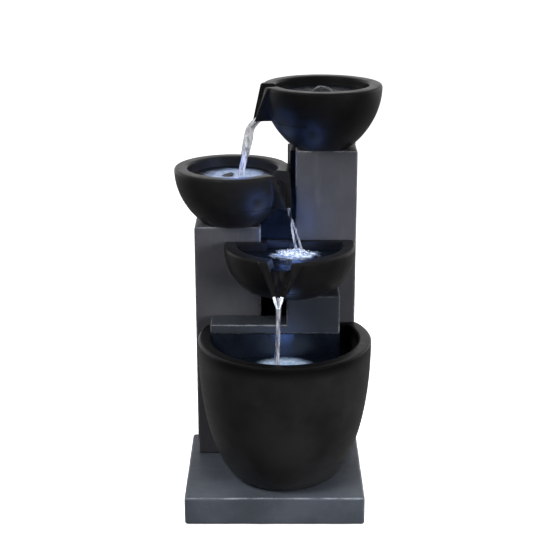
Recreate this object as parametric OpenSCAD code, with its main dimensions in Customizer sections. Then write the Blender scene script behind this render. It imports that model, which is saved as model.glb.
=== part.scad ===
// Tabletop water fountain: four bowls cascading down two pillars on a plinth.
// Millimetres, +Z up, front towards -Y. Resting on z = 0, centred on its own box.

/* [Plinth] */
// Width of the plinth, left to right
plinth_w = 216; // [212:1:264]
// Depth of the plinth, front to back
plinth_d = 180; // [176:1:220]
// Height of the plinth without its feet
plinth_h = 36; // [30:1:48]
// Thickness of the plinth's side walls and top
plinth_wall = 9; // [7:0.5:11]
// Height of the rubber feet
foot_h = 2; // [2:0.5:4]
// Radius on the long edges of plinth, pillars and step block
edge_r = 2.5; // [1:0.5:4]

/* [Pillars] */
// Width of the left pillar
left_w = 81; // [78:1:92]
// Height of the left pillar
left_h = 302; // [290:1:360]
// Width of the right pillar
right_w = 74.5; // [70:0.5:84]
// Height of the right pillar
right_h = 394; // [385:1:475]
// Width of the recess between the pillars
recess_w = 41.5; // [38:0.5:44]
// How far the left pillar stands in front of the right one
front_step = 8.5; // [4:0.5:12]
// Depth of the left pillar without the back panel
left_d = 56; // [52:1:60]
// Wall thickness of the pillars
pillar_wall = 7; // [5:0.5:8.5]
// Thickness of the back panel
panel_t = 5; // [4:0.5:6]

/* [Basin] */
// Rim radius of the basin
basin_r = 104.5; // [98:0.5:120]
// Base radius of the basin
basin_base_r = 57; // [54:0.5:62]
// Height of the basin
basin_h = 177.5; // [172:0.5:190]
// Wall thickness at the basin's rim
basin_wall = 16; // [12:0.5:18]

/* [Bowls] */
// Rim radius of the top bowl
top_r = 72; // [66:0.5:80]
// Height of the top bowl
top_h = 76; // [70:0.5:90]
// Rim radius of the second bowl
second_r = 71; // [64:0.5:74]
// Height of the second bowl
second_h = 68; // [62:0.5:80]
// Rim radius of the half-round third bowl
third_r = 79.5; // [72:0.5:81]
// Height of the third bowl
third_h = 58; // [54:0.5:64]
// Wall thickness at the bowls' rims
bowl_wall = 16; // [12:0.5:18]
// Thickness of the bowls' floors
bowl_floor = 8; // [6:0.5:10]
// Height of a spout from rim to tip
spout_drop = 42; // [36:1:46]

/* [Water system] */
// Outer diameter of the riser hose
hose_d = 12; // [11:0.5:14.5]
// Wall thickness of the riser hose
hose_wall = 1.8; // [1.5:0.1:2.2]
// Radius of the lamp housings
lamp_r = 12; // [10:0.5:14.5]
// Diameter of the lamp leads
lamp_lead_d = 3.5; // [2.5:0.1:4.2]
// Diameter of the pump lead
pump_lead_d = 5; // [4:0.1:6]

/* [Hidden] */
$fn = 96;
gap = 0.3;          // clearance between parts that only seat
eps = 0.1;          // overshoot of a cut past a face
big = 1000;         // longer than anything here

// Main planes: x to the right, y to the back, z up
plinth_z = foot_h + plinth_h;
recess_x0 = -16.5;
recess_x1 = recess_x0 + recess_w;
left_x0 = recess_x0 - left_w;
right_x1 = recess_x1 + right_w;
left_y = 29;
right_y = left_y + front_step;
back_y = left_y + left_d;
panel_y = back_y + panel_t;
left_z = plinth_z + left_h;
right_z = plinth_z + right_h;
spine_y = right_y + 6.5;
spine_t = 7;
spine_back = spine_y + spine_t;
guard_w = 16;       // splash guard between the second bowl and the right pillar
guard_step = 26;

// Basin and the pump well behind it
basin_c = [12, -14.5];
basin_z = plinth_z + basin_h;
basin_floor = 10;
rear_wall = 8;
partition_y = -7;
partition_t = 6;
well_x0 = -46;
well_x1 = 76;
well_y1 = back_y - 5;
well_t = 6;
well_z0 = plinth_z + 24;
well_floor = well_z0 + well_t;
well_z1 = basin_z - 10.5;
service_z0 = well_z1 + 1;
window_z0 = well_z1 + 0.4;
service_z1 = service_z0 + 106;

// Step block
step_x0 = -78;
step_split = 14;
step_x1 = 79;
step_low = 12;
step_high = 48.5;
step_t = 6;
third_z = basin_z + step_high;

// Bowls: centre, base radius, shape exponents, spout direction and water depth below the rim
top_c = [57, 66];
second_c = [-51, 60];
third_c = [18.5, 20];
top_base = 32.4;
second_base = 36;
third_base = 35;
top_dish = 30;
second_dish = 28;
third_dish = 29;
top_spout = 191;
second_spout = -33;
third_spout = 261;
sill = 12;
tip_reach = 12;     // how far a spout's tip stands out from the rim
tip_half = 7;       // half the width of a spout's tip
rim_round = 3;
base_ring = 10;

// Outlet in the top bowl
outlet_r = 7.8;
barb_r = hose_d / 2 - hose_wall - 0.25;
barb_bore = barb_r - 1;
top_floor = right_z + top_h - top_dish;
barb_tip = top_floor - 38;
stem_tip = top_floor - 20;

// Pump, its rotor axis along x
pump_y = 48;
cup_h = 6;
pump_base = well_floor + cup_h;
pump_z = pump_base + 20;
volute_x = 8;
motor_x = 22;
motor_end = 54;
volute_r = 16;
shaft_r = 1.5;
spout_x = 15;
pump_barb_tip = pump_z + 30;
cover_r = volute_r + 1.6;
cover_x = -6;

// Lamps
lamp_stem_r = lamp_lead_d / 2 + 2.25;
second_lamp = [-56, 66];
third_lamp = [24, 3];
basin_lamp = [12, -48];
second_lamp_h = 10;
third_lamp_h = 8;
lamp_stem = 16;
second_floor = left_z + second_h - second_dish;
third_floor = third_z + third_h - third_dish;

// Wiring
box_x0 = -86;
box_x1 = -52;
box_y0 = left_y + pillar_wall;
box_y1 = back_y - 9;
box_z0 = 70;
box_z1 = 112;
box_t = 2;
strip_z = 94;
row_x = [-70, -62];
row_y = [56, 66];
clip_z = [140, 185];
gland_at = [-70, 54];
gland_bore = 2.6;

// Where the third bowl's lead passes into the right pillar, and where the pump's lead leaves it
wire_hole = [40, 246];
wire_hole_r = 4;
lead_exit = [46, 42];

// Routes of hose and leads, and the radius of their bends
hose_route = [
    [spout_x, pump_y, pump_z + 19], [spout_x, pump_y, 140],
    [top_c.x, top_c.y - 0.5, 190], [top_c.x, top_c.y, 240], [top_c.x, top_c.y, stem_tip - 1]
];
second_route = [
    [second_lamp.x, second_lamp.y, second_floor + 1], [-56, 66, 325], [-70, 66, 285], [-70, 66, strip_z]
];
third_route = [
    [third_lamp.x, third_lamp.y, third_floor + 1], [third_lamp.x, third_lamp.y, wire_hole.y],
    [wire_hole.x, 22, wire_hole.y], [wire_hole.x, 56, wire_hole.y],
    [-70, 56, wire_hole.y], [-70, 56, strip_z]
];
basin_route = [
    [basin_lamp.x, basin_lamp.y + lamp_r - 1.4, plinth_z + basin_floor + 4], [12, 8, 52], [-36, 8, 52],
    [-36, 8, 130], [-36, 66, 130], [-36, 66, 222], [-62, 66, 222], [-62, 66, strip_z]
];
pump_route = [
    [lead_exit.x, lead_exit.y, pump_z + 18], [lead_exit.x, lead_exit.y, 180], [-10, 56, 190], [-28, 56, 214], [-62, 56, 214], [-62, 56, strip_z]
];
hose_bend = 35;
lead_bend = 10;

// The whole object's box, to centre it
box_cx = (top_c.x + top_r + second_c.x - second_r) / 2;
box_cy = (top_c.y + top_r + basin_c.y - basin_r) / 2;

module centred() translate([-box_cx, -box_cy, 0]) children();

// ---------- Shared shapes ----------

// Rectangle with rounded corners, its low corner at the origin
module rounded_rect(w, d, r) {
    translate([r, 0]) square([w - 2 * r, d]);
    translate([0, r]) square([w, d - 2 * r]);
    for (x = [r, w - r], y = [r, d - r])
        translate([x, y]) circle(r, $fn = 24);
}

// Block from low corner a to high corner b with every edge rounded by r
module rounded_block(a, b, r = edge_r) {
    s = b - a;
    translate(a) intersection() {
        linear_extrude(s.z) rounded_rect(s.x, s.y, r);
        translate([0, s.y, 0]) rotate([90, 0, 0]) linear_extrude(s.y) rounded_rect(s.x, s.z, r);
        rotate([90, 0, 90]) linear_extrude(s.x) rounded_rect(s.y, s.z, r);
    }
}

// Block from low corner a to high corner b
module block(a, b) translate(a) cube(b - a);

// Rod along +Y from y0 to y1
module rod_y(x, y0, y1, z, r) translate([x, y0, z]) rotate([-90, 0, 0]) cylinder(r = r, h = y1 - y0);

// Rod on the pump's axis from x0 to x1
module rod_x(x0, x1, r) translate([x0, pump_y, pump_z]) rotate([0, 90, 0]) cylinder(r = r, h = x1 - x0);

// Outer radius of a bowl at the height fraction t
function bowl_radius(t, base, rim, a, b) = base + (rim - base) * pow(1 - pow(1 - t, b), 1 / a);

// Outline of a bowl's outside, from the centre of its base to the centre of its top
function outside(base, rim, h, a, b, steps = 16) = concat(
    [[0, 0], [base, 0]],
    [for (i = [1:steps]) let (s = 90 * i / steps)
        [base + (rim - base) * pow(sin(s), 2 / a), (h - rim_round) * (1 - pow(cos(s), 2 / b))]],
    [for (s = [30:30:90]) [rim - rim_round * (1 - cos(s)), h - rim_round * (1 - sin(s))]],
    [[0, h]]
);

// Outline of a dish: flat floor of radius flat, rising to the radius mouth at height h
function dish(flat, mouth, floor_z, h, steps = 10) = concat(
    [[0, floor_z]],
    [for (i = [0:steps]) let (s = 90 * i / steps)
        [flat + (mouth - flat) * sin(s), floor_z + (h - rim_round - floor_z) * (1 - cos(s))]],
    [[mouth + 0.8, h - 1], [mouth + rim_round, h], [mouth + rim_round, h + 1], [0, h + 1]]
);

// Round body with a wedge-shaped spout, before its dish is cut; the spout points along the angle dir
module bowl_body(base, rim, h, a, b, dir, spread) {
    rotate_extrude() polygon(outside(base, rim, h, a, b));
    rotate([0, 0, dir]) hull() {
        translate([rim - 14, -spread, h - 4.5]) cube([16, 2 * spread, 4]);
        translate([rim - 16, -tip_half, h - spout_drop]) cube([16 + tip_reach, 2 * tip_half, 2]);
    }
}

// Space of the dish and of the open gutter that leaves it
module bowl_space(rim, h, depth, dir) {
    rotate_extrude() polygon(dish((rim - bowl_wall) * 0.55, rim - bowl_wall, h - depth, h));
    rotate([0, 0, dir]) {
        translate([rim - bowl_wall - 9, -13, h - sill]) cube([bowl_wall + 12, 26, sill + 1]);
        hull() {
            translate([rim - 4, -15.4, h + 0.4]) cube([24, 30.8, 1]);
            translate([rim - 4, -13, h - sill]) cube([24, 26, 1]);
            translate([rim + tip_reach - 7, 2.5 - tip_half, h - spout_drop - 2]) cube([22, 2 * tip_half - 5, 1]);
        }
    }
}

// Open space under a bowl's floor, wider towards the top
module under_space(base, h, depth, r_top) {
    translate([0, 0, -eps]) cylinder(r1 = base - base_ring, r2 = r_top, h = h - depth - bowl_floor + eps);
}

// Everything in front of the pillars; inset pulls it forwards, and with deep it fills the recess too
module front_zone(inset = 0, deep = false) {
    block([-big, -big, -big], [recess_x1 + eps, left_y - inset, big]);
    block([recess_x1, -big, -big], [big, right_y - inset, big]);
    if (deep)
        block([recess_x0 + gap + inset, -big, -big], [recess_x1 - gap - inset, spine_y - gap - inset, big]);
}

// Screw along +Y from its head at y, pointing to the front
module back_screw(x, z, y, len = 14) {
    rod_y(x, y - len, y, z, 1.35);
    difference() {
        rod_y(x, y, y + 2, z, 3);
        block([x - 2, y + 1.2, z - 0.4], [x + 2, y + 3, z + 0.4]);
    }
}

// ---------- Swept tubes ----------

function unit(v) = v / norm(v);

// Points of a route with each inner corner rounded by a bend of about radius r
function bends(p, r, n = 6) = [
    p[0],
    for (i = [1:len(p) - 2])
        let (a = unit(p[i - 1] - p[i]), b = unit(p[i + 1] - p[i]),
             half = acos(max(-1, min(1, a * b))) / 2,
             t = min(r / tan(half), norm(p[i - 1] - p[i]) * 0.48, norm(p[i + 1] - p[i]) * 0.48))
        for (k = [0:n]) let (s = k / n)
            p[i] + a * t * (1 - s) * (1 - s) + b * t * s * s,
    p[len(p) - 1]
];

// Direction of a path at each of its points
function headings(p) = [
    for (i = [0:len(p) - 1]) unit(p[min(i + 1, len(p) - 1)] - p[max(i - 1, 0)])
];

// A side direction at each point that turns as little as it can
function sideways(t) = [
    for (i = 0, u = unit(cross(t[0], abs(t[0].x) < 0.8 ? [1, 0, 0] : [0, 1, 0])); i < len(t);
         i = i + 1, u = i < len(t) ? unit(u - (u * t[i]) * t[i]) : u) u
];

// Round tube of radius r with n sides along the path p
module sweep(p, r, n = 8) {
    t = headings(p);
    u = sideways(t);
    rings = len(p);
    points = [
        for (k = [0:rings - 1], j = [0:n - 1])
            p[k] + r * (cos(360 * j / n) * u[k] + sin(360 * j / n) * cross(t[k], u[k]))
    ];
    sides = [
        for (k = [0:rings - 2], j = [0:n - 1]) let (m = (j + 1) % n)
            [k * n + j, (k + 1) * n + j, (k + 1) * n + m, k * n + m]
    ];
    ends = [[for (j = [0:n - 1]) j], [for (j = [n - 1:-1:0]) (rings - 1) * n + j]];
    polyhedron(points, concat(sides, ends));
}

// ---------- Plinth ----------

post = 16;
function post_at() = [
    for (x = [-1, 1], y = [-1, 1])
        [x * (plinth_w / 2 - plinth_wall - post / 2), y * (plinth_d / 2 - plinth_wall - post / 2)]
];
cover_t = 3;

module base_plinth() color("slategray") centred() {
    inner = [plinth_w / 2 - plinth_wall, plinth_d / 2 - plinth_wall];
    difference() {
        rounded_block([-plinth_w / 2, -plinth_d / 2, foot_h], [plinth_w / 2, plinth_d / 2, plinth_z]);
        difference() {
            block([-inner.x, -inner.y, foot_h - eps], [inner.x, inner.y, plinth_z - plinth_wall]);
            for (c = post_at())
                translate([c.x, c.y, foot_h + cover_t + plinth_h / 2])
                    cube([post, post, plinth_h], center = true);
        }
        for (c = post_at())
            translate([c.x, c.y, foot_h]) cylinder(r = 1.4, h = 18);
    }
}

module bottom_cover() color("dimgray") centred() difference() {
    w = plinth_w - 2 * plinth_wall - 2 * gap;
    d = plinth_d - 2 * plinth_wall - 2 * gap;
    translate([-w / 2, -d / 2, foot_h]) cube([w, d, cover_t]);
    for (c = post_at()) translate([c.x, c.y, foot_h - eps]) {
        cylinder(r = 1.7, h = cover_t + 1);
        cylinder(r = 3.5, h = 1.6 + eps);
    }
}

module rubber_feet() color("black") centred()
    for (c = post_at())
        translate([c.x * 0.85, c.y * 0.82, 0]) cylinder(r = 9, h = foot_h);

module bottom_cover_screws() color("silver") centred()
    for (c = post_at()) translate([c.x, c.y, foot_h + 0.2]) difference() {
        union() {
            cylinder(r = 3.1, h = 1.4);
            cylinder(r = 1.35, h = 14);
        }
        translate([-2, -0.4, -eps]) cube([4, 0.8, 0.8]);
    }

// ---------- Pillars ----------

panel_holes = [
    [left_x0 + pillar_wall / 2, 60], [left_x0 + pillar_wall / 2, left_z - 15],
    [recess_x0 - pillar_wall / 2, left_z - 15], [recess_x1 + pillar_wall / 2, right_z - 27],
    [right_x1 - pillar_wall / 2, right_z - 27], [right_x1 - pillar_wall / 2, 60]
];

// Hollow pillar open at its back and bottom, with room for the pump well
module pillar(x0, x1, y0, top) difference() {
    rounded_block([x0, y0, plinth_z - edge_r], [x1, back_y + edge_r, top]);
    block([x0 - 1, y0 - 1, plinth_z - edge_r - 1], [x1 + 1, back_y + edge_r + 1, plinth_z]);
    block([x0 - 1, back_y, plinth_z - 1], [x1 + 1, back_y + edge_r + 1, top + 1]);
    block([x0 + pillar_wall, y0 + pillar_wall, plinth_z - 1], [x1 - pillar_wall, back_y + 1, top - pillar_wall]);
    block([well_x0 - 0.5, -big, well_z0 - 0.5], [well_x1 + 0.5, well_y1 + 0.5, well_z1 + 0.5]);
    for (h = panel_holes)
        rod_y(h.x, back_y - 12, back_y + 1, h.y, 1.4);
}

module left_column() color("dimgray") centred() difference() {
    pillar(left_x0, recess_x0, left_y, left_z);
    translate([second_c.x, second_c.y, left_z - pillar_wall - 1]) cylinder(r = 20, h = pillar_wall + 2);
    block([recess_x0 - pillar_wall - 1, spine_back, window_z0], [recess_x0 + 1, back_y + 1, service_z1]);
}

module right_column() color("dimgray") centred() difference() {
    pillar(recess_x1, right_x1, right_y, right_z);
    translate([top_c.x, top_c.y - 2, right_z - pillar_wall - 1]) cylinder(r = 17, h = pillar_wall + 2);
    block([recess_x1 - 1, spine_back, window_z0], [recess_x1 + pillar_wall + 1, back_y + 1, service_z1]);
    rod_y(wire_hole.x, right_y - 1, right_y + pillar_wall + 1, wire_hole.y, wire_hole_r);
}

// Dark wall at the back of the recess, with its sill and cap and the splash guard above them
module centre_spine() color("black") centred() {
    block([recess_x0, spine_y, service_z0], [recess_x1, spine_back, left_z]);
    block([recess_x0, left_y, service_z0], [recess_x1, spine_y + 1, service_z0 + spine_t]);
    block([recess_x0, spine_y, left_z - spine_t], [recess_x1, back_y, left_z]);
    difference() {
        block([recess_x1 - guard_w, spine_y, left_z - 1], [recess_x1, back_y, right_z - 1]);
        translate([second_c.x, second_c.y, left_z + guard_step]) cylinder(r = second_r + 0.4, h = big);
        translate([second_c.x, second_c.y, left_z - 2]) cylinder(r = second_r - 8.5, h = guard_step + 3);
    }
}

door_x0 = -38;
door_x1 = 62;
door_z0 = service_z0 + 6;
door_z1 = door_z0 + 98;

module rear_panel() color("dimgray") centred() difference() {
    union() {
        block([left_x0, back_y, plinth_z], [right_x1, panel_y, left_z]);
        block([recess_x1, back_y, plinth_z], [right_x1, panel_y, right_z]);
    }
    block([door_x0, back_y - 1, door_z0], [door_x1, panel_y + 1, door_z1]);
    for (h = panel_holes)
        rod_y(h.x, back_y - 1, panel_y + 1, h.y, 1.6);
    rod_y(gland_at.x, back_y - 1, panel_y + 1, gland_at.y, 5.1);
}

module rear_panel_screws() color("silver") centred()
    for (h = panel_holes) back_screw(h.x, h.y, panel_y);

module access_door() color("dimgray") centred() difference() {
    union() {
        block([door_x0 + 0.5, back_y, door_z0 + 0.5], [door_x1 - 0.5, panel_y + 1, door_z1 - 0.5]);
        rounded_block([door_x0 - 6, panel_y, door_z0 - 6], [door_x1 + 6, panel_y + 2.5, door_z1 + 6], 1);
    }
    rod_y((door_x0 + door_x1) / 2, panel_y - 3, panel_y + 3, door_z1 - 22, 3.1);
}

module door_pull() color("black") centred()
    translate([(door_x0 + door_x1) / 2, panel_y + 2.5, door_z1 - 22]) rotate([-90, 0, 0]) {
        translate([0, 0, -5]) cylinder(r = 3, h = 6);
        rotate_extrude()
            polygon([[0, 0], [5, 0], [4, 3], [4.4, 6], [7, 8], [7.5, 10], [7, 12], [5, 13.4], [0, 14]]);
    }

module cable_gland() color("black") centred()
    translate([gland_at.x, back_y, gland_at.y]) rotate([-90, 0, 0]) rotate_extrude()
        polygon([
            [gland_bore, -2], [7.5, -2], [7.5, 0], [5, 0], [5, panel_t], [7.5, panel_t],
            [6.5, panel_t + 2], [gland_bore, panel_t + 2]
        ]);

// ---------- Basin, step block and bowls ----------

basin_a = 1.6;
basin_b = 2.2;

// Space inside the round tub, smaller by less
module tub_space(less = 0) translate([basin_c.x, basin_c.y, plinth_z]) rotate_extrude() polygon(concat(
    [[0, basin_floor]],
    [for (i = [0:12]) let (s = 1 - cos(90 * i / 12), z = basin_floor + (basin_h - rim_round - basin_floor) * s)
        [bowl_radius(min(1, z / (basin_h - rim_round)), basin_base_r, basin_r, basin_a, basin_b)
            - basin_wall - less, z]],
    [[basin_r - basin_wall + rim_round - less, basin_h], [basin_r - basin_wall + rim_round - less, basin_h + 1],
     [0, basin_h + 1]]
));

module basin() color("black") centred() difference() {
    union() {
        intersection() {
            translate([basin_c.x, basin_c.y, plinth_z])
                rotate_extrude() polygon(outside(basin_base_r, basin_r, basin_h, basin_a, basin_b));
            front_zone();
        }
        block([well_x0, left_y - rear_wall, well_z0], [well_x1, well_y1, well_z1]);
    }
    intersection() {
        tub_space();
        front_zone(rear_wall);
    }
    block([well_x0 + well_t, 10, well_floor], [well_x1 - well_t, right_y + 1, well_z1 - well_t]);
    block([well_x0 + well_t, right_y, well_floor], [well_x1 - well_t, well_y1 - well_t, well_z1 + 1]);
}

module pump_chamber_wall() color("black") centred() difference() {
    intersection() {
        tub_space(gap);
        front_zone(rear_wall + gap);
        union() {
            block([-big, partition_y, 0], [step_x1, partition_y + partition_t, basin_z]);
            block([step_x1 - partition_t, partition_y, 0], [step_x1, big, basin_z]);
        }
        block([-big, -big, plinth_z + basin_floor], [big, big, basin_z]);
    }
    for (i = [-5:4])
        block([basin_c.x + 10 * i - 2.5, partition_y - 1, 0],
              [basin_c.x + 10 * i + 2.5, partition_y + partition_t + 1, plinth_z + basin_floor + 12]);
}

module step_block() color("slategray") centred() difference() {
    union() {
        difference() {
            rounded_block([step_x0, partition_y, basin_z - edge_r], [step_split + 5, left_y, basin_z + step_low], 1.5);
            block([step_x0 - 1, partition_y - 1, basin_z - edge_r - 1], [step_split + 6, left_y + 1, basin_z]);
        }
        difference() {
            rounded_block([step_split, partition_y, basin_z - edge_r], [step_x1, right_y, third_z], 1.5);
            block([step_split - 1, partition_y - 1, basin_z - edge_r - 1], [step_x1 + 1, right_y + 1, basin_z]);
        }
    }
    block([step_x0 + step_t, partition_y + step_t, basin_z - 1],
          [step_split + step_t, left_y - step_t, basin_z + step_low - step_t]);
    block([step_split + step_t, partition_y + step_t, basin_z - 1],
          [step_x1 - step_t, right_y - step_t, third_z - step_t]);
    translate([third_lamp.x, third_lamp.y, third_z - step_t - 1]) cylinder(r = wire_hole_r, h = step_t + 2);
    rod_y(wire_hole.x, right_y - step_t - 1, right_y + 1, wire_hole.y, wire_hole_r);
}

module top_bowl() color("black") centred() translate([top_c.x, top_c.y, right_z]) difference() {
    bowl_body(top_base, top_r, top_h, 1.2, 2, top_spout, 24);
    bowl_space(top_r, top_h, top_dish, top_spout);
    under_space(top_base, top_h, top_dish, 44);
    translate([0, 0, -1]) cylinder(r = outlet_r + 0.2, h = top_h);
}

module second_bowl() color("black") centred() difference() {
    translate([second_c.x, second_c.y, left_z]) difference() {
        bowl_body(second_base, second_r, second_h, 1.2, 2, second_spout, 23);
        bowl_space(second_r, second_h, second_dish, second_spout);
        under_space(second_base, second_h, second_dish, 44);
    }
    translate([second_lamp.x, second_lamp.y, left_z - 1]) cylinder(r = lamp_stem_r + 0.2, h = second_h);
}

module third_bowl() color("black") centred() {
    place = [third_c.x, third_c.y, third_z];
    difference() {
        intersection() {
            translate(place) bowl_body(third_base, third_r, third_h, 2, 2, third_spout, 28);
            front_zone(deep = true);
        }
        intersection() {
            translate(place) bowl_space(third_r, third_h, third_dish, third_spout);
            front_zone(rear_wall - 1, deep = true);
        }
        intersection() {
            translate(place) under_space(third_base, third_h, third_dish, 40);
            front_zone(rear_wall, deep = true);
        }
        translate([third_lamp.x, third_lamp.y, third_z - 1]) cylinder(r = lamp_stem_r + 0.2, h = third_h);
    }
}

// ---------- Outlet and riser ----------

module outlet_fitting() color("dimgray") centred() translate([top_c.x, top_c.y, 0]) difference() {
    rotate_extrude() polygon([
        [0, barb_tip], [barb_r - 0.4, barb_tip], [barb_r, barb_tip + 3], [barb_r, stem_tip], [outlet_r, stem_tip],
        [outlet_r, top_floor + 2], [14, top_floor + 2], [14, top_floor + 4], [12.5, top_floor + 5],
        [6, top_floor + 5], [6, top_floor + 14], [5.4, top_floor + 15], [0, top_floor + 15]
    ]);
    translate([0, 0, barb_tip - 1]) cylinder(r = barb_bore, h = top_floor - barb_tip + 20);
}

module outlet_gasket() color("black") centred() translate([top_c.x, top_c.y, top_floor]) difference() {
    cylinder(r = 13, h = 2);
    translate([0, 0, -1]) cylinder(r = outlet_r + 0.1, h = 4);
}

module outlet_nut() color("dimgray") centred()
    translate([top_c.x, top_c.y, top_floor - bowl_floor - 7]) difference() {
        cylinder(r = 15, h = 7, $fn = 6);
        translate([0, 0, -1]) cylinder(r = outlet_r + 0.1, h = 9);
    }

module bubbler_cap() color("black") centred() translate([top_c.x, top_c.y, top_floor]) difference() {
    rotate_extrude() polygon([
        [6.1, 8], [10.5, 8], [11, 10], [10.6, 15], [9, 19], [6, 21.6], [3, 22.6], [2.5, 22.6],
        [2.5, 19.5], [5, 18.6], [6.1, 16.5]
    ]);
    for (a = [0:60:300])
        rotate([0, 0, a]) translate([5, 0, 15]) rotate([0, 90, 0]) cylinder(r = 1.3, h = 8, $fn = 24);
}

module riser_hose() color("lightgray") centred() difference() {
    path = bends(hose_route, hose_bend);
    first = path[0];
    last = path[len(path) - 1];
    sweep(path, hose_d / 2, 12);
    sweep(concat([first - [0, 0, 1]], path, [last + [0, 0, 1]]), hose_d / 2 - hose_wall, 12);
}

module hose_clamps() color("silver") centred() {
    r = hose_d / 2 + 0.1;
    for (p = [[spout_x, pump_y, pump_z + 21], [top_c.x, top_c.y, stem_tip - 9]])
        translate(p) difference() {
            union() {
                cylinder(r = r + 1.2, h = 6);
                translate([-4, -r - 5, 0.5]) cube([8, 6, 5]);
            }
            translate([0, 0, -1]) cylinder(r = r, h = 8);
        }
}

// ---------- Pump ----------

module pump_body() color("dimgray") centred() difference() {
    union() {
        rounded_block([motor_x, pump_y - 16, pump_base + 2], [motor_end, pump_y + 16, pump_z + 16], 3);
        block([volute_x + 6, pump_y - 18, pump_base], [motor_end + 2, pump_y + 18, pump_base + 5]);
        rod_x(volute_x, motor_x + 2, volute_r);
        intersection() {
            translate([spout_x, pump_y, pump_z + 10]) cylinder(r = barb_r + 0.8, h = 8.5);
            block([volute_x + 2 + eps, -big, pump_z], [big, big, pump_z + 30]);
        }
        translate([spout_x, pump_y, pump_z + 10]) cylinder(r = barb_r, h = pump_barb_tip - pump_z - 10);
        translate([lead_exit.x, lead_exit.y, pump_z + 12]) cylinder(r = pump_lead_d / 2 + 2, h = 6);
    }
    rod_x(volute_x - 1, motor_x - 1, 13);
    rod_x(motor_x - 2, motor_end - 4, 9);
    rod_x(motor_end - 5, motor_end - 1, shaft_r + 0.02);
    translate([spout_x, pump_y, pump_z]) cylinder(r = barb_bore, h = 40);
}

module impeller_cap() color("gray") centred() difference() {
    rod_x(volute_x - 2, volute_x, volute_r - 0.2);
    rod_x(volute_x - 3, volute_x + 1, shaft_r + 0.02);
    for (a = [45:90:315])
        translate([0, pump_y, pump_z]) rotate([a, 0, 0]) translate([volute_x - 3, 7, 0])
            rotate([0, 90, 0]) cylinder(r = 3, h = 4);
}

module impeller() color("white") centred() difference() {
    union() {
        rod_x(motor_x + 2, motor_end - 6, 6.5);
        rod_x(volute_x + 2, motor_x + 3, 3.5);
        rod_x(motor_x - 3, motor_x - 1.5, 11.5);
        for (a = [0:60:300])
            translate([0, pump_y, pump_z]) rotate([a, 0, 0])
                translate([volute_x + 2, 2, -0.8]) cube([motor_x - volute_x - 4.5, 9, 1.6]);
    }
    rod_x(volute_x, motor_end, shaft_r + 0.06);
}

module impeller_shaft() color("silver") centred() rod_x(volute_x - 2, motor_end - 1.5, shaft_r);

module pump_intake_cover() color("black") centred() difference() {
    union() {
        rod_x(cover_x, volute_x + 2, cover_r);
        rod_x(cover_x - 2.8, cover_x + 1, 2);
    }
    rod_x(cover_x + 2, volute_x + 5, volute_r + 0.25);
    for (a = [45:90:315])
        translate([0, pump_y, pump_z]) rotate([a, 0, 0])
            translate([cover_x - 1, 5.5, -2.5]) cube([4, 5, 5]);
}

module filter_sponge() color("darkslategray") centred()
    rod_x(cover_x + 2.3, volute_x - 2.4, volute_r - 0.3);

module flow_dial() color("dimgray") centred() difference() {
    union() {
        rod_x(cover_x - 2.7, cover_x - 0.2, 12);
        translate([cover_x - 2.7, pump_y - 2, pump_z + 10]) cube([2.5, 4, 5.5]);
    }
    rod_x(cover_x - 4, cover_x + 1, 2.06);
    for (a = [45:90:315])
        translate([0, pump_y, pump_z]) rotate([a, 0, 0])
            translate([cover_x - 4, 5.5, -2.5]) cube([5, 5, 5]);
}

module suction_cups() color("black") centred()
    for (x = [volute_x + 14, motor_end - 6], y = [pump_y - 12, pump_y + 12])
        translate([x, y, well_floor]) rotate_extrude()
            polygon([[0, 1.2], [5.5, 0], [7, 0], [5.5, 2], [3, 3], [3, cup_h], [0, cup_h]]);

// ---------- Lamps ----------

board_t = 1.6;

// Housing seated at z = 0, height h, with a threaded stem below it or a side entry towards +Y
module lamp_housing(h, stem) difference() {
    union() {
        rotate_extrude() polygon([[0, 0], [lamp_r, 0], [lamp_r, 1.6], [lamp_r - 0.6, 2.2], [lamp_r - 0.6, h], [0, h]]);
        if (stem)
            translate([0, 0, -lamp_stem]) cylinder(r = lamp_stem_r, h = lamp_stem + 1);
    }
    translate([0, 0, 3]) cylinder(r = lamp_r - 2, h = h);
    if (stem)
        translate([0, 0, -lamp_stem - 1]) cylinder(r = lamp_lead_d / 2 + 0.25, h = lamp_stem + 5);
    if (!stem)
        translate([0, lamp_r - 3, 4]) rotate([-90, 0, 0]) cylinder(r = lamp_lead_d / 2 + 0.25, h = 4);
}

// Round board with its light chips
module lamp_board() translate([0, 0, 3]) {
    cylinder(r = lamp_r - 2.2, h = board_t);
    for (a = [0:60:300])
        rotate([0, 0, a]) translate([4.2, -1.2, 0]) cube([2.4, 2.4, board_t + 0.8]);
}

// Clear domed lens that closes a housing of height h
module lamp_lens(h) translate([0, 0, h]) rotate_extrude() polygon(concat(
    [[0, 2.6]],
    [for (s = [90:-15:0]) [(lamp_r - 2.4) * cos(s), 2.6 * sin(s)]],
    [[lamp_r - 0.6, 0], [lamp_r - 0.6, 1.6]],
    [for (s = [0:15:90]) [(lamp_r - 1) * cos(s), 1.6 + 3.4 * sin(s)]]
));

module at(p, z) centred() translate([p.x, p.y, z]) children();

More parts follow.
